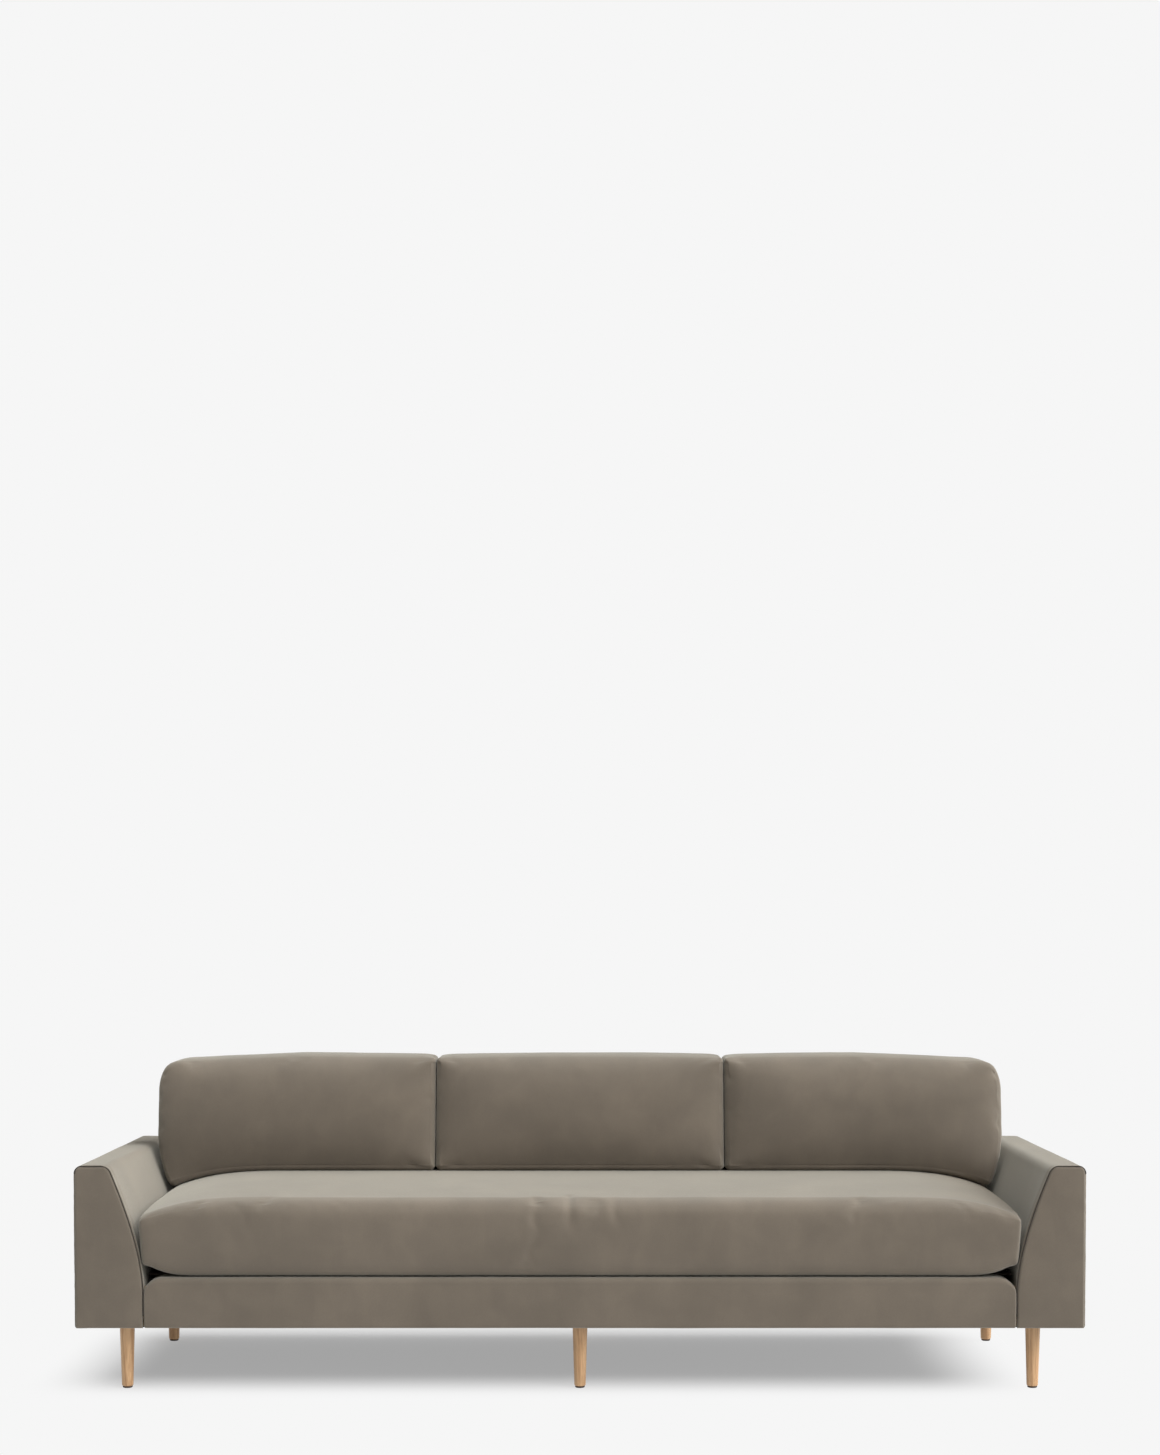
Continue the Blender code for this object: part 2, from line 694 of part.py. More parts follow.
def cushions():
    middle = (SEAT_BOTTOM + SEAT_FRONT_TOP) / 2
    through = 0.5 * COVER_CLOTH  # how far a slot goes past the cloth
    zipped_cover(
        "seat_cushion_cover",
        seat_cushion_shape(0),
        (-SEAT_ZIP_HALF, SEAT_REAR - COVER_CLOTH - through, middle - ZIP_SLOT / 2),
        (SEAT_ZIP_HALF, SEAT_REAR + 0.02, middle + ZIP_SLOT / 2),
    )
    add_mesh("seat_cushion_core", seat_cushion_shape(CORE_INSET), "foam", smooth=True)
    joins = (-BACK_CUSHION_HALF, -BACK_CUSHION_JOIN, BACK_CUSHION_JOIN, BACK_CUSHION_HALF)
    underside = seat_top(0, CUSHION_REST_Y) + CUSHION_CLEARANCE
    slot_y = BACK_FOOT_Y + (underside - DECK_TOP) * tan(BACK_LEAN) - BACK_ZIP_INSET
    for word, low_x, high_x in zip(("left", "centre", "right"), joins, joins[1:]):
        low_x += BACK_CUSHION_GAP * (low_x > -BACK_CUSHION_HALF)
        high_x -= BACK_CUSHION_GAP * (high_x < BACK_CUSHION_HALF)
        centre_x = (low_x + high_x) / 2
        zipped_cover(
            f"back_cushion_cover_{word}",
            back_cushion_shape(low_x, high_x, 0),
            (centre_x - BACK_ZIP_HALF, slot_y - ZIP_SLOT / 2, underside - 0.03),
            (centre_x + BACK_ZIP_HALF, slot_y + ZIP_SLOT / 2, underside + COVER_CLOTH + through),
        )
        bm = back_cushion_shape(low_x, high_x, CORE_INSET)
        add_mesh(f"back_cushion_core_{word}", bm, "foam", smooth=True)


def main():
    clear_scene()
    timber_frame()
    leg_blocks()
    legs()
    seat_springs()
    arm_upholstery()
    front_rail_cover()
    back_upholstery()
    deck_and_dust_cover()
    cushions()


main()
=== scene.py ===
"""Looks of a long upholstered sofa with a bench seat cushion and loose back cushions.

Metres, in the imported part's frame: +Z up, the front faces -Y, the floor is at Z = 0.
"""

import json
from math import cos, pi, radians, sin, tan

import bmesh
import bpy
import numpy as np
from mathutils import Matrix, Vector, kdtree, noise


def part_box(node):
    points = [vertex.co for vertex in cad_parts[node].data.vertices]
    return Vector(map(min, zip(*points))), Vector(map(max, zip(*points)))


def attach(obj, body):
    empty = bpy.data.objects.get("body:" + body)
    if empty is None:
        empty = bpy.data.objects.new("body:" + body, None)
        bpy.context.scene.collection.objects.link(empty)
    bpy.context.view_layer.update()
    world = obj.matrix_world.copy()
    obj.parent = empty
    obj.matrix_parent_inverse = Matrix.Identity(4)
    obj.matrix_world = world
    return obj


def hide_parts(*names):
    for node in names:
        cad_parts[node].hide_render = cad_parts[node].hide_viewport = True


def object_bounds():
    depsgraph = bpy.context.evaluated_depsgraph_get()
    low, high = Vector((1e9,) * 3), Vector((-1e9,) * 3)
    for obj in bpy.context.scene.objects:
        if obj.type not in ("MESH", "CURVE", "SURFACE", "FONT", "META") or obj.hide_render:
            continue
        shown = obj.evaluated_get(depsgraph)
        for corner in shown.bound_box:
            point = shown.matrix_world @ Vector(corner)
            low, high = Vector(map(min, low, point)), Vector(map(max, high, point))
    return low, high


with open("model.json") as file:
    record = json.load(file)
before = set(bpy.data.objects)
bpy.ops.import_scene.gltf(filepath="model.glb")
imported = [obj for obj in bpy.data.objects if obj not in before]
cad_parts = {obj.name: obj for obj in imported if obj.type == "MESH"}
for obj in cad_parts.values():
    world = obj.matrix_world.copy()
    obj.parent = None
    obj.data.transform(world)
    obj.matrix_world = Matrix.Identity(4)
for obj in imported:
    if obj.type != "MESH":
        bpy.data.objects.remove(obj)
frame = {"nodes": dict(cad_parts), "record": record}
CAD_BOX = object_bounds()

# Places taken from the frame
HALF_LENGTH = CAD_BOX[1][0]
HALF_DEPTH = CAD_BOX[1][1]
BOX_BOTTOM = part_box("outside_back_panel")[0].z
ARM_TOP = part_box("arm_cover_right")[1].z
ARM_BASE = HALF_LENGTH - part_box("arm_front_panel_right")[0].x
RAIL_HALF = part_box("front_rail_cover")[1].x
RAIL_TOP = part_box("front_rail_cover")[1].z
RAIL_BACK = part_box("front_rail_cover")[1].y
DECK_LOW, DECK_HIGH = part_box("seat_deck")
BACK_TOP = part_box("inside_back_cover")[1].z
BACK_FOOT = Vector((0, *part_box("inside_back_cover")[0].yz))
SEAT_LOW, SEAT_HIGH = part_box("seat_cushion_cover")

# Shapes the frame's boxes don't give, in the part's own sizes
ARM_BASE_HEIGHT = 0.25  # where an arm's inner face stops sloping
ARM_SLOPE = 22.5  # degrees from upright, just under the arm's top
ARM_FLAT_END = 0.0685  # how far in from the sofa's end the arm's flat top reaches
ARM_OUTER_RADIUS = 0.020
ARM_INNER_RADIUS = 0.028
BACK_LEAN = 11  # degrees from upright
CUSHION_JOIN = 0.400  # X where the back cushions meet
CUSHION_HALF = 1.170  # X of their far ends
CUSHION_GAP = 0.0015
TOTAL_TOP = CAD_BOX[1][2]

HEM = 0.006  # radius of the covers' lower edge
TURN_UNDER = 0.030  # how far a cover runs in under the frame
CLOTH_THICKNESS = 0.004
PANEL_THICKNESS = 0.013
PANEL_INSET = 0.0008  # how far a panel's face lies inside the sofa's depth
REAR_SEAM_Y = HALF_DEPTH - 0.0035

SIDES = (("left", -1), ("right", 1))
CUSHIONS = ("left", "centre", "right")


# ---------------- materials


class Nodes:
    """A short way to build the node tree of a Principled material, or of the world."""

    def __init__(self, name, owners=bpy.data.materials, place="Object"):
        self.material = owners.new(name)
        self.material.use_nodes = True
        self.tree = self.material.node_tree
        self.shader = self.tree.nodes.get("Principled BSDF")
        self.place = self.add("ShaderNodeTexCoord").outputs[place]

    def add(self, kind, inputs=(), **settings):
        """A node with these settings, and its sockets set or linked."""
        node = self.tree.nodes.new(kind)
        for key, value in settings.items():
            setattr(node, key, value)
        for key, value in dict(inputs).items():
            self.feed(value, node.inputs[key])
        return node

    def feed(self, value, socket):
        if isinstance(value, bpy.types.NodeSocket):
            self.link(value, socket)
        else:
            socket.default_value = value

    def link(self, source, target):
        self.tree.links.new(source, target)

    def set(self, **values):
        """Sets the shader's own sockets, named with _ for each space."""
        for key, value in values.items():
            self.shader.inputs[key.replace("_", " ")].default_value = value

    def stretched(self, scale, turn=(0, 0, 0)):
        inputs = {"Vector": self.place, "Scale": scale, "Rotation": turn}
        return self.add("ShaderNodeMapping", inputs).outputs["Vector"]

    def noise(self, scale, detail=3.0, roughness=0.5, vector=None, distortion=0.0):
        inputs = {"Vector": vector or self.place, "Scale": scale, "Detail": detail}
        inputs |= {"Roughness": roughness, "Distortion": distortion}
        return self.add("ShaderNodeTexNoise", inputs).outputs["Fac"]

    def remap(self, value, low, high, to_low, to_high):
        inputs = {"From Min": low, "From Max": high, "To Min": to_low, "To Max": to_high}
        inputs["Value"] = value
        node = self.add("ShaderNodeMapRange", inputs, interpolation_type="SMOOTHSTEP")
        return node.outputs["Result"]

    def math(self, operation, first, second):
        node = self.add("ShaderNodeMath", {0: first, 1: second}, operation=operation)
        return node.outputs["Value"]

    def mix(self, factor, first, second, blend="MIX"):
        node = self.add("ShaderNodeMix", data_type="RGBA", blend_type=blend)
        for key, value in (("Factor", factor), ("A", first), ("B", second)):
            socket = [s for s in node.inputs if s.name == key and s.enabled][0]
            self.feed((*value, 1) if isinstance(value, tuple) else value, socket)
        return [s for s in node.outputs if s.enabled][0]

    def grey(self, value):
        node = self.add("ShaderNodeCombineColor")
        for channel in node.inputs:
            self.link(value, channel)
        return node.outputs["Color"]

    def tone(self, colour, *strengths):
        """The colour, made lighter or darker by each strength in turn."""
        result = colour
        for strength in strengths:
            result = self.mix(1.0, result, self.grey(strength), "MULTIPLY")
        self.link(result, self.shader.inputs["Base Color"])

    def bump(self, height, strength, distance):
        inputs = {"Height": height, "Strength": strength, "Distance": distance}
        node = self.add("ShaderNodeBump", inputs)
        self.link(node.outputs["Normal"], self.shader.inputs["Normal"])

    def roughness(self, value):
        self.link(value, self.shader.inputs["Roughness"])

    def emission(self, strength):
        return self.add("ShaderNodeEmission", {"Strength": strength}).outputs["Emission"]

    def surface(self, shader):
        """Makes this the material's surface, in place of the Principled shader."""
        self.link(shader, self.tree.nodes["Material Output"].inputs["Surface"])


def velvet():
    """Short greige pile: brushed patches, a fine grain and a soft sheen."""
    m = Nodes("velvet")
    patches = m.noise(3.2, 2.5, 0.5, distortion=0.8)
    clouds = m.noise(11, 2.0, 0.5, distortion=0.5)
    strokes = m.noise(16, 3, 0.6, m.stretched((1.0, 1.0, 0.35), (0.2, 0.5, 0.3)), 0.6)
    pile = m.noise(1400, 2, 0.7)
    tufts = m.noise(330, 3, 0.6)
    m.tone(
        VELVET,
        m.remap(patches, 0.34, 0.66, 0.93, 1.07),
        m.remap(clouds, 0.36, 0.64, 0.965, 1.035),
        m.remap(strokes, 0.30, 0.70, 0.965, 1.035),
        m.remap(pile, 0.25, 0.75, 0.90, 1.10),
        m.remap(tufts, 0.30, 0.70, 0.97, 1.03),
    )
    m.roughness(m.remap(strokes, 0.3, 0.7, 0.78, 0.92))
    m.bump(m.math("ADD", m.math("MULTIPLY", tufts, 0.6), pile), 0.35, 0.0006)
    m.set(Sheen_Weight=0.50, Sheen_Roughness=0.60, Sheen_Tint=(0.93, 0.93, 0.84, 1))
    m.set(Specular_IOR_Level=0.12)
    return m.material


VELVET = (0.150, 0.122, 0.093)


def oak():
    """Pale oiled wood with its grain along the leg."""
    m = Nodes("oak")
    along = m.stretched((1.0, 1.0, 0.055))
    bands = m.noise(95, 4, 0.6, along, 0.6)
    pores = m.noise(700, 2, 0.6, m.stretched((1.0, 1.0, 0.03)))
    drift = m.noise(7, 2, 0.5)
    light, dark = (0.72, 0.450, 0.235), (0.49, 0.270, 0.128)
    wood = m.mix(m.remap(bands, 0.36, 0.66, 0.0, 1.0), light, dark)
    m.tone(
        wood,
        m.remap(pores, 0.45, 0.75, 1.0, 0.80),
        m.remap(drift, 0.3, 0.7, 0.92, 1.06),
    )
    m.roughness(m.remap(bands, 0.3, 0.7, 0.36, 0.50))
    m.bump(m.math("SUBTRACT", bands, pores), 0.25, 0.0004)
    return m.material


def plain(name, colour, roughness, scale, metallic=0.0, distance=0.0003, spread=0.08):
    """A finish with fine mottling of colour, roughness and surface."""
    m = Nodes(name)
    grain = m.noise(scale, 4, 0.6)
    broad = m.noise(scale / 14, 3, 0.5)
    m.tone(
        colour,
        m.remap(grain, 0.3, 0.7, 1 - spread, 1 + spread),
        m.remap(broad, 0.3, 0.7, 0.94, 1.05),
    )
    m.roughness(m.remap(grain, 0.3, 0.7, roughness * 0.88, min(1.0, roughness * 1.1)))
    m.bump(grain, 0.3, distance)
    m.set(Metallic=metallic)
    return m.material


def timber():
    """Sawn frame wood, with its grain along X."""
    m = Nodes("frame_timber")
    bands = m.noise(60, 4, 0.6, m.stretched((0.06, 1.0, 1.0)), 0.8)
    wood = m.mix(m.remap(bands, 0.35, 0.65, 0.0, 1.0), (0.60, 0.45, 0.28), (0.42, 0.28, 0.15))
    saw = m.noise(420, 3, 0.6)
    m.tone(wood, m.remap(saw, 0.3, 0.7, 0.9, 1.08))
    m.roughness(m.remap(saw, 0.3, 0.7, 0.62, 0.8))
    m.bump(saw, 0.3, 0.0005)
    return m.material


def woven(name, colour, pitch):
    """A plain weave: threads crossing along X and Y."""
    m = Nodes(name)
    threads = []
    inputs = {"Scale": 2 * pi / (20 * pitch), "Distortion": 0.6, "Detail": 1.0}
    for turn in (0.0, pi / 2):
        inputs["Vector"] = m.stretched((1, 1, 1), (0, 0, turn))
        wave = m.add("ShaderNodeTexWave", inputs, wave_type="BANDS", bands_direction="X")
        threads.append(wave.outputs["Fac"])
    weave = m.math("MULTIPLY", threads[0], threads[1])
    fuzz = m.noise(260, 3, 0.6)
    m.tone(colour, m.remap(weave, 0.0, 0.8, 0.75, 1.15), m.remap(fuzz, 0.3, 0.7, 0.92, 1.06))
    m.roughness(m.remap(fuzz, 0.3, 0.7, 0.8, 0.95))
    m.bump(weave, 0.5, 0.0008)
    m.set(Sheen_Weight=0.1, Sheen_Roughness=0.5)
    return m.material


MATERIALS = {
    "velvet": velvet(),
    "oak": oak(),
    "glide_plastic": plain("glide_plastic", (0.050, 0.030, 0.020), 0.5, 260),
    "zinc_steel": plain("zinc_steel", (0.55, 0.55, 0.54), 0.35, 500, metallic=1.0, spread=0.04),
    "frame_timber": timber(),
    "spring_steel": plain("spring_steel", (0.30, 0.30, 0.31), 0.35, 500, metallic=1.0),
    # Dark deck cloth, made darker still as painted shade for the gaps at the seat cushion's ends
    "deck_cloth": woven("deck_cloth", (0.066, 0.055, 0.043), pitch=0.0016),
    "dust_cloth": plain("dust_cloth", (0.022, 0.022, 0.023), 0.95, 420, spread=0.25),
    "foam": plain("foam", (0.78, 0.74, 0.62), 0.95, 300, distance=0.001),
    # Seam thread, darkened past its own colour as painted shade of the seams' grooves; the zips'
    # teeth use it too
    "thread_and_groove_shade": plain("thread_and_groove_shade", (0.045, 0.037, 0.029), 0.9, 900),
}


# ---------------- mesh helpers


def put(name, data):
    """An object with this data, linked into the scene."""
    made = bpy.data.objects.new(name, data)
    bpy.context.scene.collection.objects.link(made)
    return made


def make_object(name, verts, faces, slot, body="sofa_frame", smooth=True):
    """A piece from its points and faces, with a material, riding on a body."""
    mesh = bpy.data.meshes.new(name)
    mesh.from_pydata([tuple(map(float, v)) for v in verts], [], faces)
    mesh.validate()
    piece = put(name, mesh)
    if smooth:
        mesh.shade_smooth()
    dress(piece, slot)
    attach(piece, body)
    return piece


def dress(piece, slot, material=None):
    """Gives a piece the material named by slot, or the one named by material if given."""
    piece.data.materials.clear()
    piece.data.materials.append(MATERIALS[material or slot])


def stand_for(node):
    """Hides the CAD node that a padded piece is drawn instead of."""
    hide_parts(node)


def grid_faces(rows, columns, flip=False):
    faces = []
    for i in range(rows - 1):
        for j in range(columns - 1):
            a = i * columns + j
            quad = (a, a + 1, a + columns + 1, a + columns)
            faces.append(quad[::-1] if flip else quad)
    return faces


def padded_sheet(name, node, points, inward):
    """A soft shell from a grid of points, for a CAD node; inward is a point behind it."""
    rows, columns = points.shape[:2]
    middle = points[rows // 2, columns // 2]
    along = points[rows // 2 + 1, columns // 2] - middle
    across = points[rows // 2, columns // 2 + 1] - middle
    facing = np.cross(across, along)
    flip = facing.dot(middle - np.array(inward)) < 0
    faces = grid_faces(rows, columns, flip)
    piece = make_object(name, points.reshape(-1, 3), faces, "velvet")
    thicken(piece, CLOTH_THICKNESS)
    stand_for(node)


def thicken(piece, thickness, offset=-1):
    solid = piece.modifiers.new("cloth", "SOLIDIFY")
    solid.thickness = thickness
    solid.offset = offset


def subdivide(piece):
    """One Catmull-Clark step, the same in the viewport and the render."""
    fine = piece.modifiers.new("smooth", "SUBSURF")
    fine.levels = fine.render_levels = 1
    fine.boundary_smooth = "PRESERVE_CORNERS"


def field(points, scale, seed):
    """Smooth noise of about -1 to 1 at each point; scale is waves per metre."""
    flat = np.asarray(points, float).reshape(-1, 3) * scale + seed
    values = [noise.fractal(Vector(p), 1.0, 2.0, 1) for p in flat]
    return np.array(values).reshape(np.asarray(points).shape[:-1])


def rolled(distance, radius):
    """How far a surface has turned in, at a distance from its rounded edge."""
    left = np.clip(radius - distance, 0.0, radius)
    return radius - np.sqrt(np.maximum(radius**2 - left**2, 0.0))


def bell(distance, width):
    """1 at no distance, fading smoothly to nothing within a few widths."""
    return np.exp(-((distance / width) ** 2))


def rise(value, start, end):
    """0 before start, 1 after end, and a smooth step between."""
    share = np.clip((value - start) / (end - start), 0.0, 1.0)
    return share * share * (3 - 2 * share)


def spaced(start, end, step, edge_steps):
    """Stations from start to end, with extra ones at set distances from each end."""
    edge = np.array([0.0, *edge_steps])
    inner = edge[-1] + step
    count = max(2, round((end - start - 2 * inner) / step) + 1)
    middle = np.linspace(start + inner, end - inner, count)
    return np.concatenate([start + edge, middle, (end - edge)[::-1]])


def arc(centre, radius, start, end, steps):
    turns = np.radians(np.linspace(start, end, steps + 1))
    return np.array(centre) + radius * np.stack([np.cos(turns), np.sin(turns)], 1)


def even_path(path, step):
    """The path resampled at an even step, its outward normals and its lengths.

    The normals point to the left of the path's direction.
    """
    path = np.asarray(path, float)
    lengths = np.concatenate([[0], np.cumsum(np.linalg.norm(np.diff(path, axis=0), axis=1))])
    count = round(lengths[-1] / step) + 1
    places = np.linspace(0, lengths[-1], count)
    even = np.stack([np.interp(places, lengths, path[:, k]) for k in (0, 1)], 1)
    ahead = np.gradient(even, axis=0)
    ahead /= np.linalg.norm(ahead, axis=1)[:, None]
    return even, np.stack([-ahead[:, 1], ahead[:, 0]], 1), places


# ---------------- arms


def arm_outline(foot):
    """An arm's section as distance in from the sofa's end, and height."""
    outer = (ARM_OUTER_RADIUS, ARM_TOP - ARM_OUTER_RADIUS)
    inner = (ARM_FLAT_END, ARM_TOP - ARM_INNER_RADIUS)
    over = arc(inner, ARM_INNER_RADIUS, 90, ARM_SLOPE, 12)
    # The slope is a curve that runs down into the upright foot of the arm
    start, end = over[-1], np.array([ARM_BASE, ARM_BASE_HEIGHT])
    drop = (ARM_BASE - start[0]) / tan(radians(ARM_SLOPE))
    control = np.array([ARM_BASE, start[1] - drop])
    t = np.linspace(0, 1, 40)[1:, None]
    slope = (1 - t) ** 2 * start + 2 * t * (1 - t) * control + t**2 * end
    parts = [
        [(TURN_UNDER, BOX_BOTTOM)],
        arc((HEM, BOX_BOTTOM + HEM), HEM, 270, 180, 6),
        arc(outer, ARM_OUTER_RADIUS, 180, 90, 10),
        over,
        slope[slope[:, 1] > foot + 0.001],
        [(ARM_BASE, foot)],
    ]
    return np.concatenate(parts)


def arm_inner_w(z):
    """Distance in from the sofa's end to an arm's inner face at a height."""
    outline = arm_outline(ARM_BASE_HEIGHT)
    inner = outline[outline[:, 0] > ARM_FLAT_END]
    return np.interp(z, inner[::-1, 1], inner[::-1, 0])


def back_face_y(z):
    """Y of the leaning inside back's front face at a height."""
    return BACK_FOOT.y + (z - BACK_FOOT.z) * tan(radians(BACK_LEAN))


# Distances of the extra stations in from each sewn edge
EDGE_STEPS = (0.0006, 0.0015, 0.0026, 0.004, 0.006, 0.0085, 0.0115, 0.015, 0.019, 0.024, 0.031)


def arm_cover(word, side):
    """The cover over an arm, puckered where it is sewn to the front panel."""
    path, normals, lengths = even_path(arm_outline(DECK_LOW.z - 0.045), 0.005)
    stations = spaced(-REAR_SEAM_Y, REAR_SEAM_Y, 0.008, EDGE_STEPS)
    w, y = np.meshgrid(path[:, 0], stations)
    z = np.meshgrid(path[:, 1], stations)[0]
    s = np.meshgrid(lengths, stations)[0]
    from_front, from_rear = y + REAR_SEAM_Y, REAR_SEAM_Y - y
    inner = rise(w, 0.060, 0.100)
    points = np.stack([w, y, z], -1)
    # Both ends roll in to their seams, with a lip, a soft fold behind it and small puckers
    offset = -rolled(from_front, 0.0045) - rolled(from_rear, 0.0035)
    waver = field(np.stack([s * 0, y * 0, s], -1), 26, 3.0 + side)
    pucker = field(np.stack([s * 0, y * 6, s * 70], -1), 1, 9.0 + side)
    offset += 0.0007 * bell(from_front - 0.006, 0.004) * (1 + 0.5 * waver)
    valley = inner * rise(z, 0.28, 0.35) * bell(from_front - 0.020, 0.010)
    offset -= 0.0034 * valley * (0.8 + 0.5 * waver)
    offset += 0.0006 * pucker * np.exp(-from_front / 0.012)
    offset += 0.0004 * pucker * np.exp(-from_rear / 0.012)
    # The padding crowns the inner face, and is pinched where the inside back meets it
    offset += 0.0022 * inner * np.sin(pi * rise(z, 0.26, 0.56))
    offset += 0.0009 * field(points, 5.5, 1.7 * side)
    crease = y - back_face_y(z)
    offset -= inner * 0.006 * bell(crease, 0.012) * rise(BACK_TOP - z, 0.0, 0.03)
    w = w + normals[:, 0] * offset
    z = z + normals[:, 1] * offset
    grid = np.stack([side * (HALF_LENGTH - w), y, z], -1)
    inward = (side * (HALF_LENGTH - 0.06), 0, 0.40)
    padded_sheet(f"arm_upholstery_{word}", f"arm_cover_{word}", grid, inward)


def panel(name, low_x, high_x, heights, outward, columns, puff, seed, seams=()):
    """A padded flat panel between two edges given at each height, rounded all round.

    outward is the way that it faces along Y; columns are shares of its width.
    """
    face_y = outward * (HALF_DEPTH - PANEL_INSET)
    back_y = face_y - outward * PANEL_THICKNESS
    widths = (high_x - low_x)[:, None]
    x = low_x[:, None] + widths * columns[None, :]
    z = np.repeat(heights[:, None], len(columns), 1)
    outline = [
        np.stack([low_x, heights], 1),
        np.stack([x[-1], z[-1]], 1),
        np.stack([high_x, heights], 1)[::-1],
        np.stack([x[0], z[0]], 1)[::-1],
    ]
    # How far each point is from the panel's outline
    fine = even_path(np.concatenate(outline), 0.001)[0]
    tree = kdtree.KDTree(len(fine))
    for index, (a, b) in enumerate(fine):
        tree.insert((a, 0, b), index)
    tree.balance()
    away = [tree.find((a, 0, b))[2] for a, b in zip(x.ravel(), z.ravel())]
    away = np.array(away).reshape(x.shape)
    away[[0, -1], :] = 0
    away[:, [0, -1]] = 0
    places = np.stack([x, x * 0 + face_y, z], -1)
    depth = rolled(away, 0.0045) - puff * (1 - np.exp(-away / 0.022))
    depth -= 0.0006 * field(places, 7.0, seed) * rise(away, 0, 0.02)
    depth -= 0.0005 * field(places, 60.0, seed) * np.exp(-away / 0.010)
    for seam in seams:
        depth += 0.0016 * bell(x - seam, 0.0022) - 0.0006 * bell(abs(x - seam) - 0.006, 0.004)
    front = np.stack([x, face_y - outward * depth, z], -1)
    # The front, then a wall from its rim back to a cap
    rows, cols = x.shape
    verts = list(front.reshape(-1, 3))
    faces = grid_faces(rows, cols, flip=outward > 0)
    ring = list(range(cols))
    ring += [i * cols + cols - 1 for i in range(1, rows)]
    ring += [(rows - 1) * cols + j for j in range(cols - 2, -1, -1)]
    ring += [i * cols for i in range(rows - 2, 0, -1)]
    start = len(verts)
    centre = np.array([x.mean(), 0, z.mean()])
    for index in ring:
        point = verts[index].copy()
        inwards = centre - point
        inwards[1] = 0
        point += inwards / np.linalg.norm(inwards) * 0.0012
        point[1] = back_y
        verts.append(point)
    count = len(ring)
    for k in range(count):
        a, b = ring[k], ring[(k + 1) % count]
        quad = (a, start + k, start + (k + 1) % count, b)
        faces.append(quad[::-1] if outward > 0 else quad)
    cap = tuple(range(start, start + count))
    faces.append(cap if outward > 0 else cap[::-1])
    return make_object(name, verts, faces, "velvet")


def arm_front_panel(word, side):
    """The sewn panel on the front of an arm, just inside the cover's edge."""
    outline = arm_outline(BOX_BOTTOM + 0.001)
    heights = spaced(BOX_BOTTOM, ARM_TOP - 0.0030, 0.010, EDGE_STEPS)
    outer = outline[outline[:, 0] <= ARM_OUTER_RADIUS + 1e-6][1:]
    inner = outline[outline[:, 0] >= ARM_FLAT_END - 1e-6]
    outer_w = np.interp(heights, outer[:, 1], outer[:, 0]) + 0.0028
    outer_w[heights < BOX_BOTTOM + HEM + 0.004] = 0.0028
    inner_w = np.interp(heights, inner[::-1, 1], inner[::-1, 0]) - 0.0030
    edges = (side * (HALF_LENGTH - outer_w), side * (HALF_LENGTH - inner_w))
    low_x, high_x = sorted(edges, key=lambda e: e[0])
    columns = spaced(0, 0.15, 0.009, EDGE_STEPS) / 0.15
    piece = panel(f"arm_front_{word}", low_x, high_x, heights, -1, columns, 0.0022, 5.0 + side)
    stand_for(f"arm_front_panel_{word}")


def arm_seam_and_groove_shade(word, side):
    """The seam round an arm's front panel, down in its groove, drawn as a dark line: the
    thread's own colour plus painted shade of the groove.
    """
    outline = arm_outline(BOX_BOTTOM + 0.03)[1:]
    path, normals, _ = even_path(outline[outline[:, 1] > BOX_BOTTOM + 0.02], 0.004)
    curve = bpy.data.curves.new(f"arm_seam_and_groove_shade_{word}", "CURVE")
    curve.dimensions = "3D"
    curve.bevel_depth = 0.0015
    curve.bevel_resolution = 2
    curve.use_fill_caps = True
    spline = curve.splines.new("POLY")
    spline.points.add(len(path) - 1)
    for point, (w, z) in zip(spline.points, path - normals * 0.0016):
        point.co = (side * (HALF_LENGTH - w), -HALF_DEPTH + 0.0034, z, 1)
    piece = put(f"arm_seam_and_groove_shade_{word}", curve)
    dress(piece, "velvet", "thread_and_groove_shade")
    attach(piece, "sofa_frame")


# ---------------- rail and back


def front_rail():
    """The padded rail under the seat cushion, its top corners rounded at the arms."""
    front, top_radius = -HALF_DEPTH, 0.013
    base = BOX_BOTTOM + 0.05
    parts = [
        [(front + TURN_UNDER, BOX_BOTTOM)],
        arc((front + HEM, BOX_BOTTOM + HEM), HEM, 270, 180, 6),
        arc((front + top_radius, RAIL_TOP - top_radius), top_radius, 180, 90, 10),
        [(RAIL_BACK, RAIL_TOP), (RAIL_BACK + 0.012, RAIL_TOP - 0.012)],
    ]
    path, normals, _ = even_path(np.concatenate(parts), 0.004)
    stations = spaced(-RAIL_HALF, RAIL_HALF, 0.010, EDGE_STEPS)
    y, x = np.meshgrid(path[:, 0], stations)
    z = np.meshgrid(path[:, 1], stations)[0]
    # Its top drops in a curve beside each arm
    end = RAIL_HALF - abs(x)
    corner = 0.042 * (1 - np.sqrt(1 - np.clip(1 - end / 0.048, 0, 1) ** 2 * 0.96))
    z = np.where(z > base, base + (z - base) * (1 - corner / (RAIL_TOP - base)), z)
    places = np.stack([x, y, z], -1)
    on_face = bell(y - front, 0.004)
    offset = -rolled(end, 0.004)
    offset += on_face * 0.0022 * np.sin(pi * rise(z, BOX_BOTTOM, RAIL_TOP))
    offset += 0.0007 * field(places, 6.0, 4.0)
    offset += on_face * 0.0008 * field(places * (1, 1, 0.25), 22.0, 8.0) * bell(end, 0.12)
    y = y + normals[:, 0] * offset
    z = z + normals[:, 1] * offset
    grid = np.stack([x, y, z], -1)
    padded_sheet("front_rail_upholstery", "front_rail_cover", grid, (0, 0, 0.2))


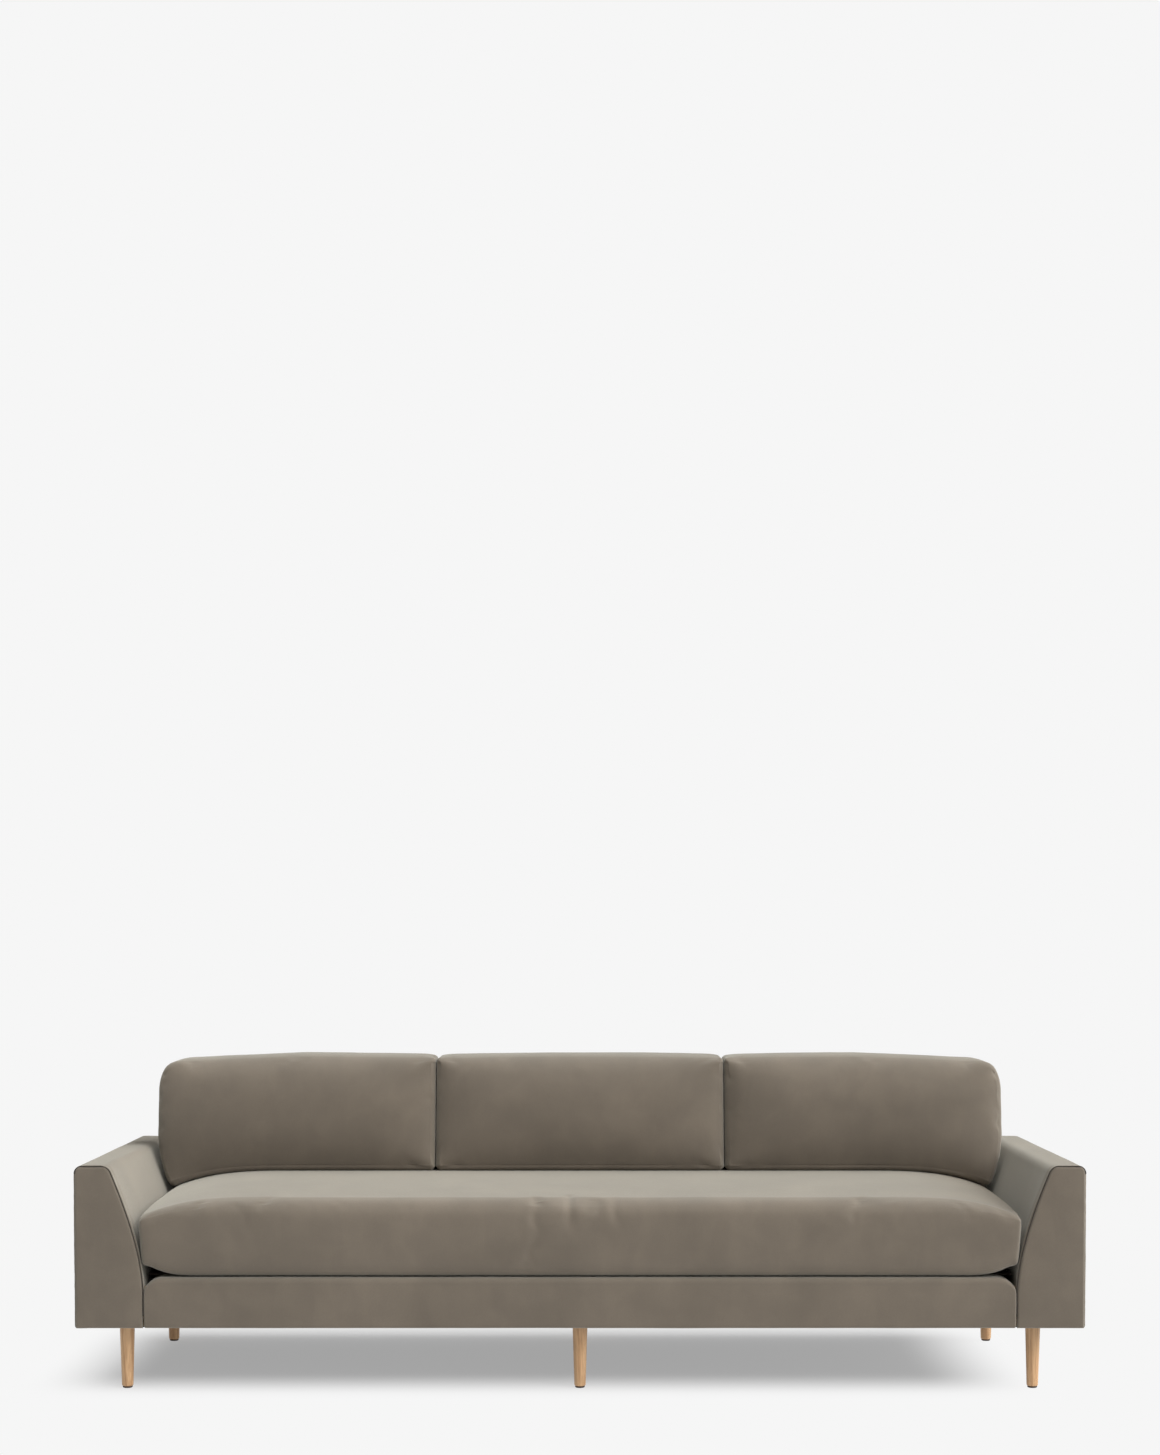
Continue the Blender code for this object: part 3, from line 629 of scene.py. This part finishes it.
def inside_back():
    """The leaning inside back and its top, tucked in against the arms."""
    radius = 0.026
    lean = 90 - BACK_LEAN
    top_y = back_face_y(BACK_TOP)
    centre = (top_y + radius * tan(radians(lean / 2)), BACK_TOP - radius)
    over = arc(centre, radius, 90 + lean, 90, 12)
    path = np.concatenate([[BACK_FOOT.yz], over, [(REAR_SEAM_Y, BACK_TOP)]])
    path, normals, _ = even_path(path, 0.006)
    shares = spaced(-1.2, 1.2, 0.012, EDGE_STEPS) / 1.2
    y, share = np.meshgrid(path[:, 0], shares)
    z = np.meshgrid(path[:, 1], shares)[0]
    half = HALF_LENGTH - arm_inner_w(np.minimum(z, BACK_TOP)) + 0.003
    x = share * half
    end = half - abs(x)
    places = np.stack([x, y, z], -1)
    offset = -rolled(end, 0.010) - rolled(REAR_SEAM_Y - y, 0.0035)
    offset += 0.003 * rise(end, 0, 0.05)
    offset += 0.0012 * field(places, 4.0, 12.0)
    y = y + normals[:, 0] * offset
    z = z + normals[:, 1] * offset
    grid = np.stack([x, y, z], -1)
    padded_sheet("inside_back_upholstery", "inside_back_cover", grid, (0, 0.38, 0.4))


def outside_back():
    """The plain panel across the rear, with two seams down it."""
    heights = spaced(BOX_BOTTOM, ARM_TOP - 0.0012, 0.014, EDGE_STEPS)
    corner = arc(
        (ARM_OUTER_RADIUS, ARM_TOP - ARM_OUTER_RADIUS), ARM_OUTER_RADIUS, 180, 90, 10
    )
    margin = np.interp(heights, corner[:, 1], corner[:, 0], left=0) + 0.0012
    half = HALF_LENGTH - margin
    columns = spaced(0, 2.55, 0.016, EDGE_STEPS) / 2.55
    seams = (-0.43, 0.43)
    piece = panel("outside_back", -half, half, heights, 1, columns, 0.0018, 31.0, seams)
    stand_for("outside_back_panel")


# ---------------- deck, dust cover, legs


def grid_sheet(name, low, high, height, step, slot, rule):
    """A level sheet over a rectangle, raised or lowered at each point by a rule."""
    xs = np.linspace(low[0], high[0], round((high[0] - low[0]) / step) + 1)
    ys = np.linspace(low[1], high[1], round((high[1] - low[1]) / step) + 1)
    x, y = np.meshgrid(xs, ys)
    z = height + rule(x, y)
    points = np.stack([x, y, z], -1).reshape(-1, 3)
    return make_object(name, points, grid_faces(len(ys), len(xs)), slot)


def seat_deck():
    """The woven deck under the seat cushion, softly sprung: dark cloth, darkened further as
    painted shade for the gaps at the seat cushion's ends.
    """
    low, high = DECK_LOW, DECK_HIGH

    def give(x, y):
        inside = np.minimum(rise(y - low.y, 0, 0.10), rise(high.y - y, 0, 0.10))
        springs = np.cos(2 * pi * x / 0.44)
        return -inside * (0.0022 - 0.0006 * springs)

    deck = grid_sheet("deck", low, high, high.z - 0.0002, 0.014, "deck_cloth", give)
    thicken(deck, 0.0045)
    stand_for("seat_deck")


def dust_cover():
    """Black lining stretched under the frame and held by a row of staples."""
    low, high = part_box("dust_cover")

    def hang(x, y):
        edge = np.min([x - low.x, high.x - x, y - low.y, high.y - y], axis=0)
        ripple = field(np.stack([x, y, x * 0], -1), 9.0, 50.0)
        return -0.0006 * rise(edge, 0.02, 0.15) * (1 + 0.5 * ripple)

    cover = grid_sheet("lining", low, high, low.z + 0.0012, 0.02, "dust_cloth", hang)
    thicken(cover, 0.0005, offset=0)
    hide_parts("dust_cover")
    size = (round(high.x - low.x, 3), round(high.y - low.y, 3))
    verts, faces = [], []
    margin, pitch = 0.010, 0.05
    for axis in (0, 1):
        run = size[axis] - 2 * margin
        count = round(run / pitch)
        for k in range(count + 1):
            along = low[axis] + margin + run * k / count
            for across in (low[1 - axis] + margin, high[1 - axis] - margin):
                centre = (along, across) if axis == 0 else (across, along)
                add_staple(verts, faces, centre, axis, low.z + 0.0007)
    make_object("lining_staples", verts, faces, "zinc_steel", smooth=False)


def add_staple(verts, faces, centre, axis, height):
    """A staple's crown: a short bar with chamfered ends, lying along one axis."""
    half, thick = 0.0055, 0.0006
    start = len(verts)
    for along, up in ((-half, 0.4), (-half * 0.9, 1.0), (half * 0.9, 1.0), (half, 0.4)):
        for across in (-thick, thick):
            flat = (along, across) if axis == 0 else (across, along)
            verts.append((centre[0] + flat[0], centre[1] + flat[1], height - up * 0.0009))
            verts.append((centre[0] + flat[0], centre[1] + flat[1], height + 0.0002))
    for k in range(3):
        a, b = start + 4 * k, start + 4 * (k + 1)
        faces += [(a, b, b + 2, a + 2), (a + 1, a + 3, b + 3, b + 1)]
        faces += [(a, a + 1, b + 1, b), (a + 2, b + 2, b + 3, a + 3)]
    end = start + 12
    faces += [(start, start + 2, start + 3, start + 1), (end, end + 1, end + 3, end + 2)]


def lathed(name, profile, place, slot, sides=64):
    """A turned piece from its radius and height at each step, foot first."""
    verts, faces = [(place[0], place[1], profile[0][1])], []
    for radius, height in profile:
        for k in range(sides):
            turn = 2 * pi * k / sides
            verts.append((place[0] + radius * cos(turn), place[1] + radius * sin(turn), height))
    verts.append((place[0], place[1], profile[-1][1]))
    last = len(verts) - 1
    for k in range(sides):
        ahead = (k + 1) % sides
        faces.append((0, 1 + ahead, 1 + k))
        for row in range(len(profile) - 1):
            a, b = 1 + row * sides, 1 + (row + 1) * sides
            faces.append((a + k, a + ahead, b + ahead, b + k))
        top = 1 + (len(profile) - 1) * sides
        faces.append((top + k, top + ahead, last))
    return make_object(name, verts, faces, slot)


LEG_TAPER = 0.0145 / 0.01925  # a leg's radius at its foot over that at its top


def legs():
    """Turned oak legs with a softly rounded foot, each on a domed glide."""
    for end in ("front", "rear"):
        for word in ("left", "centre", "right"):
            low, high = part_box(f"leg_{end}_{word}")
            place = (low + high) / 2
            top = (high.x - low.x) / 2
            foot = top * LEG_TAPER
            edge = 0.0030
            turned = arc((foot - edge, low.z + edge), edge, 270, 360, 6)
            profile = [tuple(p) for p in turned]
            for share in (0.03, 0.25, 0.5, 0.75, 0.985):
                height = low.z + (high.z - low.z) * share
                profile.append((foot + (top - foot) * share, height))
            profile += [(top, high.z - 0.0012), (top - 0.0012, high.z)]
            leg = lathed(f"oak_leg_{end}_{word}", profile, place, "oak")
            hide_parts(f"leg_{end}_{word}")
            low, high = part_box(f"glide_{end}_{word}")
            radius = (high.x - low.x) / 2
            dome = [(radius * 0.55, 0.0), (radius * 0.82, 0.0005), (radius * 0.96, 0.0014)]
            profile = dome + [(radius, 0.0026), (radius, low.z + 0.0052)]
            glide = lathed(f"foot_glide_{end}_{word}", profile, place, "glide_plastic", 40)
            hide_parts(f"glide_{end}_{word}")


# ---------------- cushions


def row(half, edge, step, low=(), high=()):
    """Stations along one axis of a block: close at its edges, then at a set step.

    low and high are more distances in from its two ends.
    """
    near = edge * (1 - np.tan(np.radians(np.linspace(45, 0, 5))))
    start = -half + np.concatenate([near, low])
    end = half - np.concatenate([near, high])
    count = max(1, round((end[-1] - start[-1]) / step))
    return np.concatenate([start, np.linspace(start[-1], end[-1], count + 1)[1:-1], end[::-1]])


def block(rows):
    """The surface of a box divided at three rows of stations, as points and quads."""
    last = [len(stations) - 1 for stations in rows]
    keys, faces = {}, []
    for axis in range(3):
        first, second = [i for i in range(3) if i != axis]
        for level in (0, last[axis]):
            for i in range(last[first]):
                for j in range(last[second]):
                    quad = []
                    for di, dj in ((0, 0), (1, 0), (1, 1), (0, 1)):
                        key = [0, 0, 0]
                        key[axis], key[first], key[second] = level, i + di, j + dj
                        quad.append(keys.setdefault(tuple(key), len(keys)))
                    outward = (level > 0) == (axis != 1)
                    faces.append(tuple(quad) if outward else tuple(quad[::-1]))
    return np.array([[rows[k][key[k]] for k in range(3)] for key in keys]), faces


def rounder(first, second, radius):
    """Turns a square edge into a rounded one, from the distances to its two faces.

    radius is one number, or the width of the rounding in from each of the faces.
    """
    along, across = radius if isinstance(radius, tuple) else (radius, radius)
    a = np.clip(1 - first / along, 0, 1)
    b = np.clip(1 - second / across, 0, 1)
    scale = np.maximum(a, b) / np.maximum(np.hypot(a, b), 1e-9)
    turn = np.where((a > 0) & (b > 0), 1 - scale, 0.0)
    return first + along * a * turn, second + across * b * turn


def inset(distance, size, before, after):
    """A distance from one face of a size, when the section shrinks all round."""
    room = np.maximum(size - 2 * before, 1e-6)
    return after + (distance - before) * (size - 2 * after) / room


def outward_normals(piece):
    flat = np.zeros(len(piece.data.vertices) * 3, np.float32)
    piece.data.vertices.foreach_get("normal", flat)
    return flat.reshape(-1, 3).astype(float)


def groove(distance, place, on_face):
    """Share of a sewn line's depth, on some faces, at a distance from an edge."""
    return on_face * np.clip(1 - abs(distance - place) / (0.6 * SEAM_HALF), 0, 1)


SEAM_HALF = 0.0018  # half a sewn line's width
SEAM_DEPTH = 0.0020


def swell(pieces, hold, growth, pressure):
    """Inflates each cushion's cloth against its foam; gives how far each point moved."""
    scene = bpy.context.scene
    for piece in pieces:
        group = piece.vertex_groups.new(name="foam")
        group.add(range(len(piece.data.vertices)), hold, "REPLACE")
        cloth = piece.modifiers.new("swell", "CLOTH")
        for key, value in CLOTH_SETTINGS.items():
            setattr(cloth.settings, key, value)
        cloth.settings.shrink_min = -growth
        cloth.settings.uniform_pressure_force = pressure
        cloth.settings.effector_weights.gravity = 0
        cloth.collision_settings.use_collision = False
        cloth.point_cache.frame_end = SWELL_FRAMES
    for frame_number in range(1, SWELL_FRAMES + 1):
        scene.frame_set(frame_number)
    graph = bpy.context.evaluated_depsgraph_get()
    moves = []
    for piece in pieces:
        swollen = piece.evaluated_get(graph).data
        moves.append(read_points(swollen) - read_points(piece.data))
    for piece in pieces:
        piece.modifiers.clear()
        piece.vertex_groups.clear()
    scene.frame_set(1)
    return moves


CLOTH_SETTINGS = {
    "quality": 4,
    "mass": 0.25,
    "tension_stiffness": 12,
    "compression_stiffness": 12,
    "shear_stiffness": 6,
    "bending_stiffness": 0.6,
    "vertex_group_mass": "foam",
    "pin_stiffness": 1.0,
    "use_pressure": True,
}
SWELL_FRAMES = 20
SEAT_CAP = 0.005  # the furthest that a point of the seat may swell
BACK_CAP = 0.010


def read_points(mesh):
    flat = np.zeros(len(mesh.vertices) * 3, np.float32)
    mesh.vertices.foreach_get("co", flat)
    return flat.reshape(-1, 3).astype(float)


def write_points(mesh, points):
    mesh.vertices.foreach_set("co", points.astype(np.float32).ravel())
    mesh.update()


def capped(move, cap):
    """The moves, none longer than cap, with the longest eased off."""
    length = np.linalg.norm(move, axis=1)[:, None]
    return move * (np.tanh(length / cap) * cap / np.maximum(length, 1e-9))


def seat_top(x, y):
    """Height of the seat cushion's top, crowned and falling to its ends."""
    back = np.clip((SEAT_CROWN_Y - y) / (SEAT_CROWN_Y - SEAT_LOW.y), 0, 1) ** 2
    start, width, fall = SEAT_END_FALL
    end = np.clip((abs(x) - start) / width, 0, 1) ** 3
    return SEAT_HIGH.z - SEAT_CROWN * back - fall * end


SEAT_CROWN = 0.0175
SEAT_CROWN_Y = -0.016  # where the crown is highest
SEAT_END_FALL = (0.80, 0.312, 0.042)  # from where, over what width, and how far
SEAT_END_LIFT = (0.98, 0.12, 0.025)  # the same, for its underside
SEAT_END_LEAN = (0.420, 0.070)  # below this height the ends lean in, by this per metre
SEAT_BULGE = 0.004
SEAT_EDGE = 0.010
SEAT_WATERFALL = (0.076, 0.028)  # how far back and down the soft front edge goes
SEAT_CORNER = (0.042, 0.018)  # and how far at the seat's ends
SEAT_LOW_EDGE = 0.022

# Creases down the front of the seat: x, half-width, depth (a ridge if negative),
# and the heights between which each fades out
SEAT_CREASES = (
    (-0.112, 0.0120, 0.0020, 0.430, 0.370),
    (-0.060, 0.0200, -0.0014, 0.430, 0.370),
    (-0.026, 0.0075, 0.0034, 0.450, 0.395),
    (0.004, 0.0130, -0.0016, 0.450, 0.380),
    (0.070, 0.0100, -0.0014, 0.460, 0.425),
    (0.088, 0.0060, 0.0022, 0.460, 0.425),
    (0.700, 0.0240, 0.0008, 0.400, 0.340),
    (0.760, 0.0260, -0.0008, 0.420, 0.350),
)


def seat_shape(flat, half, layer):
    """Places for the bench cushion's points, or for its foam's, a layer further in."""
    deep, tall = 2 * half[1], 2 * half[2]
    ends = half[0] - abs(flat[:, 0])
    front, top = flat[:, 1] + half[1], half[2] - flat[:, 2]
    inside = np.min([front, deep - front, top, tall - top], axis=0)
    on_end = ends < 1e-6
    sewn_in = SEAT_EDGE + 2 * SEAM_HALF
    sewn_end = groove(inside, sewn_in, on_end)
    sewn_front = groove(tall - top, sewn_in, ~on_end & (front < 1e-6))
    ends, turned = rounder(ends, inside, SEAT_EDGE)
    ends += SEAM_DEPTH * sewn_end + layer
    front = inset(front, deep, inside, turned + layer)
    top = inset(top, tall, inside, turned + layer)
    pulled = rise(abs(flat[:, 0]), 0.86, 1.10)
    edge = zip(SEAT_WATERFALL, SEAT_CORNER)
    front, top = rounder(front, top, tuple(a + (b - a) * pulled for a, b in edge))
    front, under = rounder(front, tall - top, SEAT_LOW_EDGE)
    top = tall - under
    x = np.sign(flat[:, 0]) * (half[0] - ends)
    y = SEAT_LOW.y + front
    start, width, lift = SEAT_END_LIFT
    low = SEAT_LOW.z + lift * np.clip((abs(x) - start) / width, 0, 1) ** 3
    high = seat_top(x, y)
    z = high - (high - low) * top / tall
    lean_top, lean = SEAT_END_LEAN
    x = x * (1 - lean * np.maximum(0, lean_top - z))
    near_front = np.clip(1 - front / 0.05, 0, 1)
    y = y - SEAT_BULGE * near_front * np.sin(pi * np.clip((z - 0.30) / 0.17, 0, 1))
    y = y + 0.6 * SEAM_DEPTH * sewn_front
    if not layer:
        for place, width, depth, fade_start, fade_end in SEAT_CREASES:
            share = bell(x - place, width) * rise(z, fade_end, fade_start)
            y = y + depth * share * near_front
            z = z - 0.5 * depth * share * bell(front, 0.08) * rise(z, 0.45, 0.48)
    return np.stack([x, y, z], 1)


def seat_cushion():
    """The bench cushion: crowned, with a soft front edge and short pulled ends."""
    nominal_half_height = 0.096  # its real height varies along it
    half = (SEAT_HIGH.x + 0.003, (SEAT_HIGH.y - SEAT_LOW.y) / 2, nominal_half_height)
    sewn_rows = SEAT_EDGE + SEAM_HALF * np.array([1, 2, 3])
    front_rows = SEAT_EDGE + 0.0065 * np.arange(1, 15)
    fine = (
        row(half[0], SEAT_EDGE, 0.013),
        row(half[1], SEAT_EDGE, 0.012, low=front_rows, high=sewn_rows),
        row(half[2], SEAT_EDGE, 0.009, low=sewn_rows, high=sewn_rows),
    )
    coarse = [row(size, SEAT_EDGE, 0.025) for size in half]
    return soft_pair("seat_cushion", "seat_cushion_core", seat_shape, half, fine, coarse)


def soft_pair(name, node, shape, half, fine, coarse):
    """A cushion's cover, with its foam inside it as a piece of its own."""
    flat, faces = block(coarse)
    foam = make_object(f"foam_{name}", shape(flat, half, FOAM_DEPTH), faces, "foam", name)
    stand_for(node)
    flat, faces = block(fine)
    return make_object(name, shape(flat, half, 0.0), faces, "velvet", name)


FOAM_DEPTH = 0.009

BACK_EDGE = 0.012
BACK_FRONT_Y = 0.15  # roughly where the back cushions' fronts stand on the seat
OUTER_CORNER = (0.041, 0.072)  # width and height of the rounding at a far top corner
INNER_CORNER = (0.011, 0.011)
# The far ends slope in to clear the arms: how far, from how far out, and below what height
END_TAPER = 0.041
END_START = 0.9
END_TAPER_TOP = 0.623
BACK_BULGE = 0.028


def back_cushion(word, low_x, high_x):
    """A boxed back cushion: a bulging front, sewn edges, and a slack top."""
    centre_x = (low_x + high_x) / 2
    half = ((high_x - low_x) / 2, 0.075, 0.16)
    sewn_rows = BACK_EDGE + SEAM_HALF * np.array([1, 2, 3])
    fine = (
        row(half[0], BACK_EDGE, 0.013, low=sewn_rows, high=sewn_rows),
        row(half[1], BACK_EDGE, 0.012),
        row(half[2], BACK_EDGE, 0.011, low=sewn_rows, high=sewn_rows),
    )
    coarse = [row(size, BACK_EDGE, 0.025) for size in half]
    outer_side = 0 if word == "centre" else np.sign(centre_x)

    def shape(flat, half, layer):
        half_x, half_y, half_z = half
        wide, tall = 2 * half_x, 2 * half_z
        side, top = half_x - abs(flat[:, 0]), half_z - flat[:, 2]
        depth = half_y - abs(flat[:, 1])
        inside = np.min([side, top, tall - top], axis=0)
        sewn = groove(inside, BACK_EDGE + 2 * SEAM_HALF, depth < 1e-6)
        depth, turned = rounder(depth, inside, BACK_EDGE)
        side = inset(side, wide, inside, turned + layer)
        top = inset(top, tall, inside, turned + layer)
        outer = np.sign(flat[:, 0]) == outer_side
        for chosen, corner in ((outer, OUTER_CORNER), (~outer, INNER_CORNER)):
            side[chosen], top[chosen] = rounder(side[chosen], top[chosen], corner)
        side, under = rounder(side, tall - top, 0.014)
        top = tall - under
        x = centre_x + np.sign(flat[:, 0]) * (half_x - side)
        across, up = (x - centre_x) / half_x, 1 - 2 * top / tall
        outward = np.maximum(0.0, abs(x) - END_START) / (CUSHION_HALF - END_START)
        low = seat_top(abs(x) - END_TAPER * outward, BACK_FRONT_Y) + 0.0015
        # The top sags to its ends, more at the far ones, with a small peak near their corner
        high = TOTAL_TOP - 0.0045 - 0.0045 * across**2
        high -= 0.0135 * np.clip((abs(x) - 0.785) / 0.385, 0, 1)
        high += 0.002 * bell(abs(x) - 1.105, 0.018)
        z = low + (high - low) * (up + 1) / 2
        facing = np.sign(flat[:, 1])
        y = back_face_y(z) - 0.004 - half_y
        y += facing * (half_y - layer - depth - 0.25 * SEAM_DEPTH * sewn)
        front = np.clip(0.5 - 0.7 * flat[:, 1] / half_y, 0, 1)
        y -= front * BACK_BULGE * (1 - across**4) * (1 - abs(up) ** 2.4)
        taper = np.clip((END_TAPER_TOP - z) / 0.166, 0, 1) ** 2
        x = x - np.sign(x) * END_TAPER * outward * taper
        return np.stack([x, y, z], 1)

    name = f"back_cushion_{word}"
    return soft_pair(name, f"back_cushion_core_{word}", shape, half, fine, coarse)


def zip_fastener(name, centre, half_length, half_width, out, body):
    """A zip along X: tape, two rows of teeth and a slider, facing along out."""
    out = Vector(out).normalized()
    across = out.cross(Vector((1, 0, 0)))
    centre = Vector(centre)

    def bars(boxes):
        """Bars given as x, half-length, low and high edge, foot and top, tapering up."""
        verts, faces = [], []
        for x, half_x, low, high, foot, top in boxes:
            a = len(verts)
            for lift in (foot, top):
                narrow = 0.82 if lift == top else 1.0
                middle = (low + high) / 2
                for end, edge in ((-1, low), (1, low), (1, high), (-1, high)):
                    place = centre + Vector((x + end * half_x * narrow, 0, 0))
                    place += across * (middle + (edge - middle) * narrow)
                    verts.append(place + out * lift)
            faces += [(a, a + 3, a + 2, a + 1), (a + 4, a + 5, a + 6, a + 7)]
            for k in range(4):
                b = (k + 1) % 4
                faces.append((a + k, a + b, a + b + 4, a + k + 4))
        return verts, faces

    tape = [(0, half_length, -half_width, half_width, -0.0012, 0.0005)]
    make_object(f"{name}_tape", *bars(tape), "velvet", body, smooth=False)
    pitch, boxes = 0.0032, []
    for k in range(round(2 * half_length / pitch)):
        x = -half_length + (k + 0.5) * pitch
        side = 1 if k % 2 else -1
        boxes.append((x, 0.0011, min(0, side * 0.0026), max(0, side * 0.0026), 0.0004, 0.0018))
    teeth = make_object(f"{name}_teeth", *bars(boxes), "velvet", body, smooth=False)
    dress(teeth, "velvet", "thread_and_groove_shade")
    x = half_length - 0.012
    boxes = [
        (x, 0.0055, -0.0042, 0.0042, 0.0012, 0.0036),
        (x - 0.014, 0.011, -0.0022, 0.0022, 0.0034, 0.0046),
    ]
    make_object(f"{name}_slider", *bars(boxes), "zinc_steel", body, smooth=False)


def zips():
    """The covers' zips: behind the seat cushion, and under each back cushion."""
    rear = Vector((0, SEAT_HIGH.y, (SEAT_LOW.z + SEAT_HIGH.z) / 2 - 0.008))
    zip_fastener("seat_zip", rear, 0.90, 0.011, (0, 1, 0), "seat_cushion")
    for word in CUSHIONS:
        low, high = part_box(f"back_cushion_cover_{word}")
        x = (low.x + high.x) / 2
        centre = (x, back_face_y(0.52) - 0.079, seat_top(x, BACK_FRONT_Y) + 0.0014)
        zip_fastener(f"back_zip_{word}", centre, 0.26, 0.011, (0, 0, -1), f"back_cushion_{word}")


def cushions():
    """Makes the four cushions, swells them together, and settles their surfaces."""
    ends = (-CUSHION_HALF, -CUSHION_JOIN, CUSHION_JOIN, CUSHION_HALF)
    pieces = [seat_cushion()]
    for word, low_x, high_x in zip(CUSHIONS, ends, ends[1:]):
        low_x += CUSHION_GAP * (word != "left")
        high_x -= CUSHION_GAP * (word != "right")
        pieces.append(back_cushion(word, low_x, high_x))
    moves = swell(pieces, hold=0.12, growth=0.012, pressure=4)
    for number, (piece, move) in enumerate(zip(pieces, moves)):
        points, normals = read_points(piece.data), outward_normals(piece)
        seat = number == 0
        # Free to swell on top and in front, and held flat behind, below and at the ends
        top = rise(normals[:, 2], -0.5, 0.3) * rise(-normals[:, 1], -0.6, 0.2)
        free = top * (1 - 0.8 * abs(normals[:, 0]))
        if move is not None:
            points += capped(move, SEAT_CAP if seat else BACK_CAP) * free[:, None]
        soft = 0.0016 * field(points, 4.5, 20.0 + number)
        soft += 0.0006 * field(points, 16.0, 40.0 + number)
        points += normals * (soft * free)[:, None]
        if seat:
            points[:, 2] = np.minimum(points[:, 2], seat_top(points[:, 0], points[:, 1]) + 0.001)
        write_points(piece.data, points)
        subdivide(piece)
        if seat:
            stand_for("seat_cushion_cover")
        else:
            stand_for(f"back_cushion_cover_{CUSHIONS[number - 1]}")


# ---------------- scene


WHITE = 0.9216  # radiance of the studio's floor and backdrop
FLOOR_ALBEDO = 0.38
AMBIENT = 0.02
# The studio's soft lights: direction, radiance in the middle, and how sharply each fades
SOFT_LIGHTS = (
    ((0.50, -0.50, 0.70), 3.3, 8.0),
    ((0.00, 0.05, 1.00), 2.4, 8.0),
    ((0.90, -0.05, 0.42), 1.7, 8.0),
    ((0.80, 0.00, 0.60), 3.1, 8.0),
)
SHADOW_PATCH = {"X": (-1.44, -1.13, 0.88, 1.21), "Y": (-0.575, -0.16, 0.45, 0.75)}


def stage():
    """A pale floor, and a backdrop behind it that gives no light."""
    size = 60
    corners = [(-size, -size, 0), (size, -size, 0), (size, size, 0), (-size, size, 0)]
    mesh = bpy.data.meshes.new("floor")
    mesh.from_pydata(corners, [], [(0, 1, 2, 3)])
    mesh.materials.append(floor_paper())
    put("floor", mesh)

    bm = bmesh.new()
    bmesh.ops.create_uvsphere(bm, u_segments=64, v_segments=32, radius=55)
    mesh = bpy.data.meshes.new("backdrop")
    bm.to_mesh(mesh)
    bm.free()
    mesh.shade_smooth()
    m = Nodes("backdrop")
    m.surface(m.emission(WHITE))
    mesh.materials.append(m.material)
    backdrop = put("backdrop", mesh)
    for kind in ("diffuse", "glossy", "transmission", "shadow"):
        setattr(backdrop, f"visible_{kind}", False)


def floor_paper():
    """Pale paper that takes the sofa's shadow, and glows evenly away from it."""
    m = Nodes("floor")
    m.set(Base_Color=(*[FLOOR_ALBEDO] * 3, 1), Roughness=1.0, Specular_IOR_Level=0.0)
    m.set(Emission_Color=(1, 1, 1, 1), Emission_Strength=floor_glow())
    axes = m.add("ShaderNodeSeparateXYZ", {"Vector": m.place})
    share = None
    for axis, (out_low, in_low, in_high, out_high) in SHADOW_PATCH.items():
        place = axes.outputs[axis]
        low = m.remap(place, out_low, in_low, 0.0, 1.0)
        high = m.remap(place, in_high, out_high, 1.0, 0.0)
        band = m.math("MULTIPLY", low, high)
        share = band if share is None else m.math("MULTIPLY", share, band)
    inputs = {"Fac": share, 1: m.emission(WHITE), 2: m.shader.outputs["BSDF"]}
    m.surface(m.add("ShaderNodeMixShader", inputs).outputs["Shader"])
    return m.material


def floor_glow():
    """What the floor must give off for its open parts to look as pale as the backdrop."""
    rings, spokes = 64, 256
    total = 0.0
    for i in range(rings):
        up = (i + 0.5) / rings
        flat = (1 - up * up) ** 0.5
        for k in range(spokes):
            turn = 2 * pi * k / spokes
            total += sky(Vector((flat * cos(turn), flat * sin(turn), up))) * up
    return WHITE - FLOOR_ALBEDO * total * 2 / (rings * spokes)


def sky(way):
    """Radiance of the studio in a direction."""
    glow = AMBIENT
    for direction, radiance, spread in SOFT_LIGHTS:
        facing = way.dot(Vector(direction).normalized())
        glow += radiance * max(0.0, facing) ** spread
    return glow


def lights():
    """The studio's light: a faint even glow, and each soft light fading from its middle."""
    m = Nodes("studio", bpy.data.worlds, "Generated")
    bpy.context.scene.world = m.material
    glow = AMBIENT
    for direction, radiance, spread in SOFT_LIGHTS:
        inputs = {0: m.place, 1: Vector(direction).normalized()}
        facing = m.add("ShaderNodeVectorMath", inputs, operation="DOT_PRODUCT")
        lobe = m.math("POWER", m.math("MAXIMUM", facing.outputs["Value"], 0.0), spread)
        glow = m.math("ADD", m.math("MULTIPLY", lobe, radiance), glow)
    m.link(m.grey(glow), m.tree.nodes["Background"].inputs["Color"])


def camera():
    """A viewpoint straight in front of the sofa, looking slightly down."""
    data = bpy.data.cameras.new("camera")
    data.lens = 62.2
    data.shift_y = 0.209
    eye = put("camera", data)
    eye.location = (0, -6.80, 1.1726)
    looking_down = 2.3
    eye.rotation_euler = (radians(90 - looking_down), 0, 0)
    bpy.context.scene.camera = eye


def dress_frame():
    """Gives the carried-over CAD nodes their detailed materials."""
    slots = {s["node"]: s["material_slot"] for s in frame["record"]["subparts"]}
    for name, node in frame["nodes"].items():
        for place in node.material_slots:
            place.material = MATERIALS[slots[name]]


def main():
    dress_frame()
    for word, side in SIDES:
        arm_cover(word, side)
        arm_front_panel(word, side)
        arm_seam_and_groove_shade(word, side)
    front_rail()
    inside_back()
    outside_back()
    seat_deck()
    dust_cover()
    legs()
    cushions()
    zips()
    bpy.context.scene.view_settings.view_transform = "Standard"
    stage()
    lights()
    camera()


main()
bpy.context.view_layer.update()
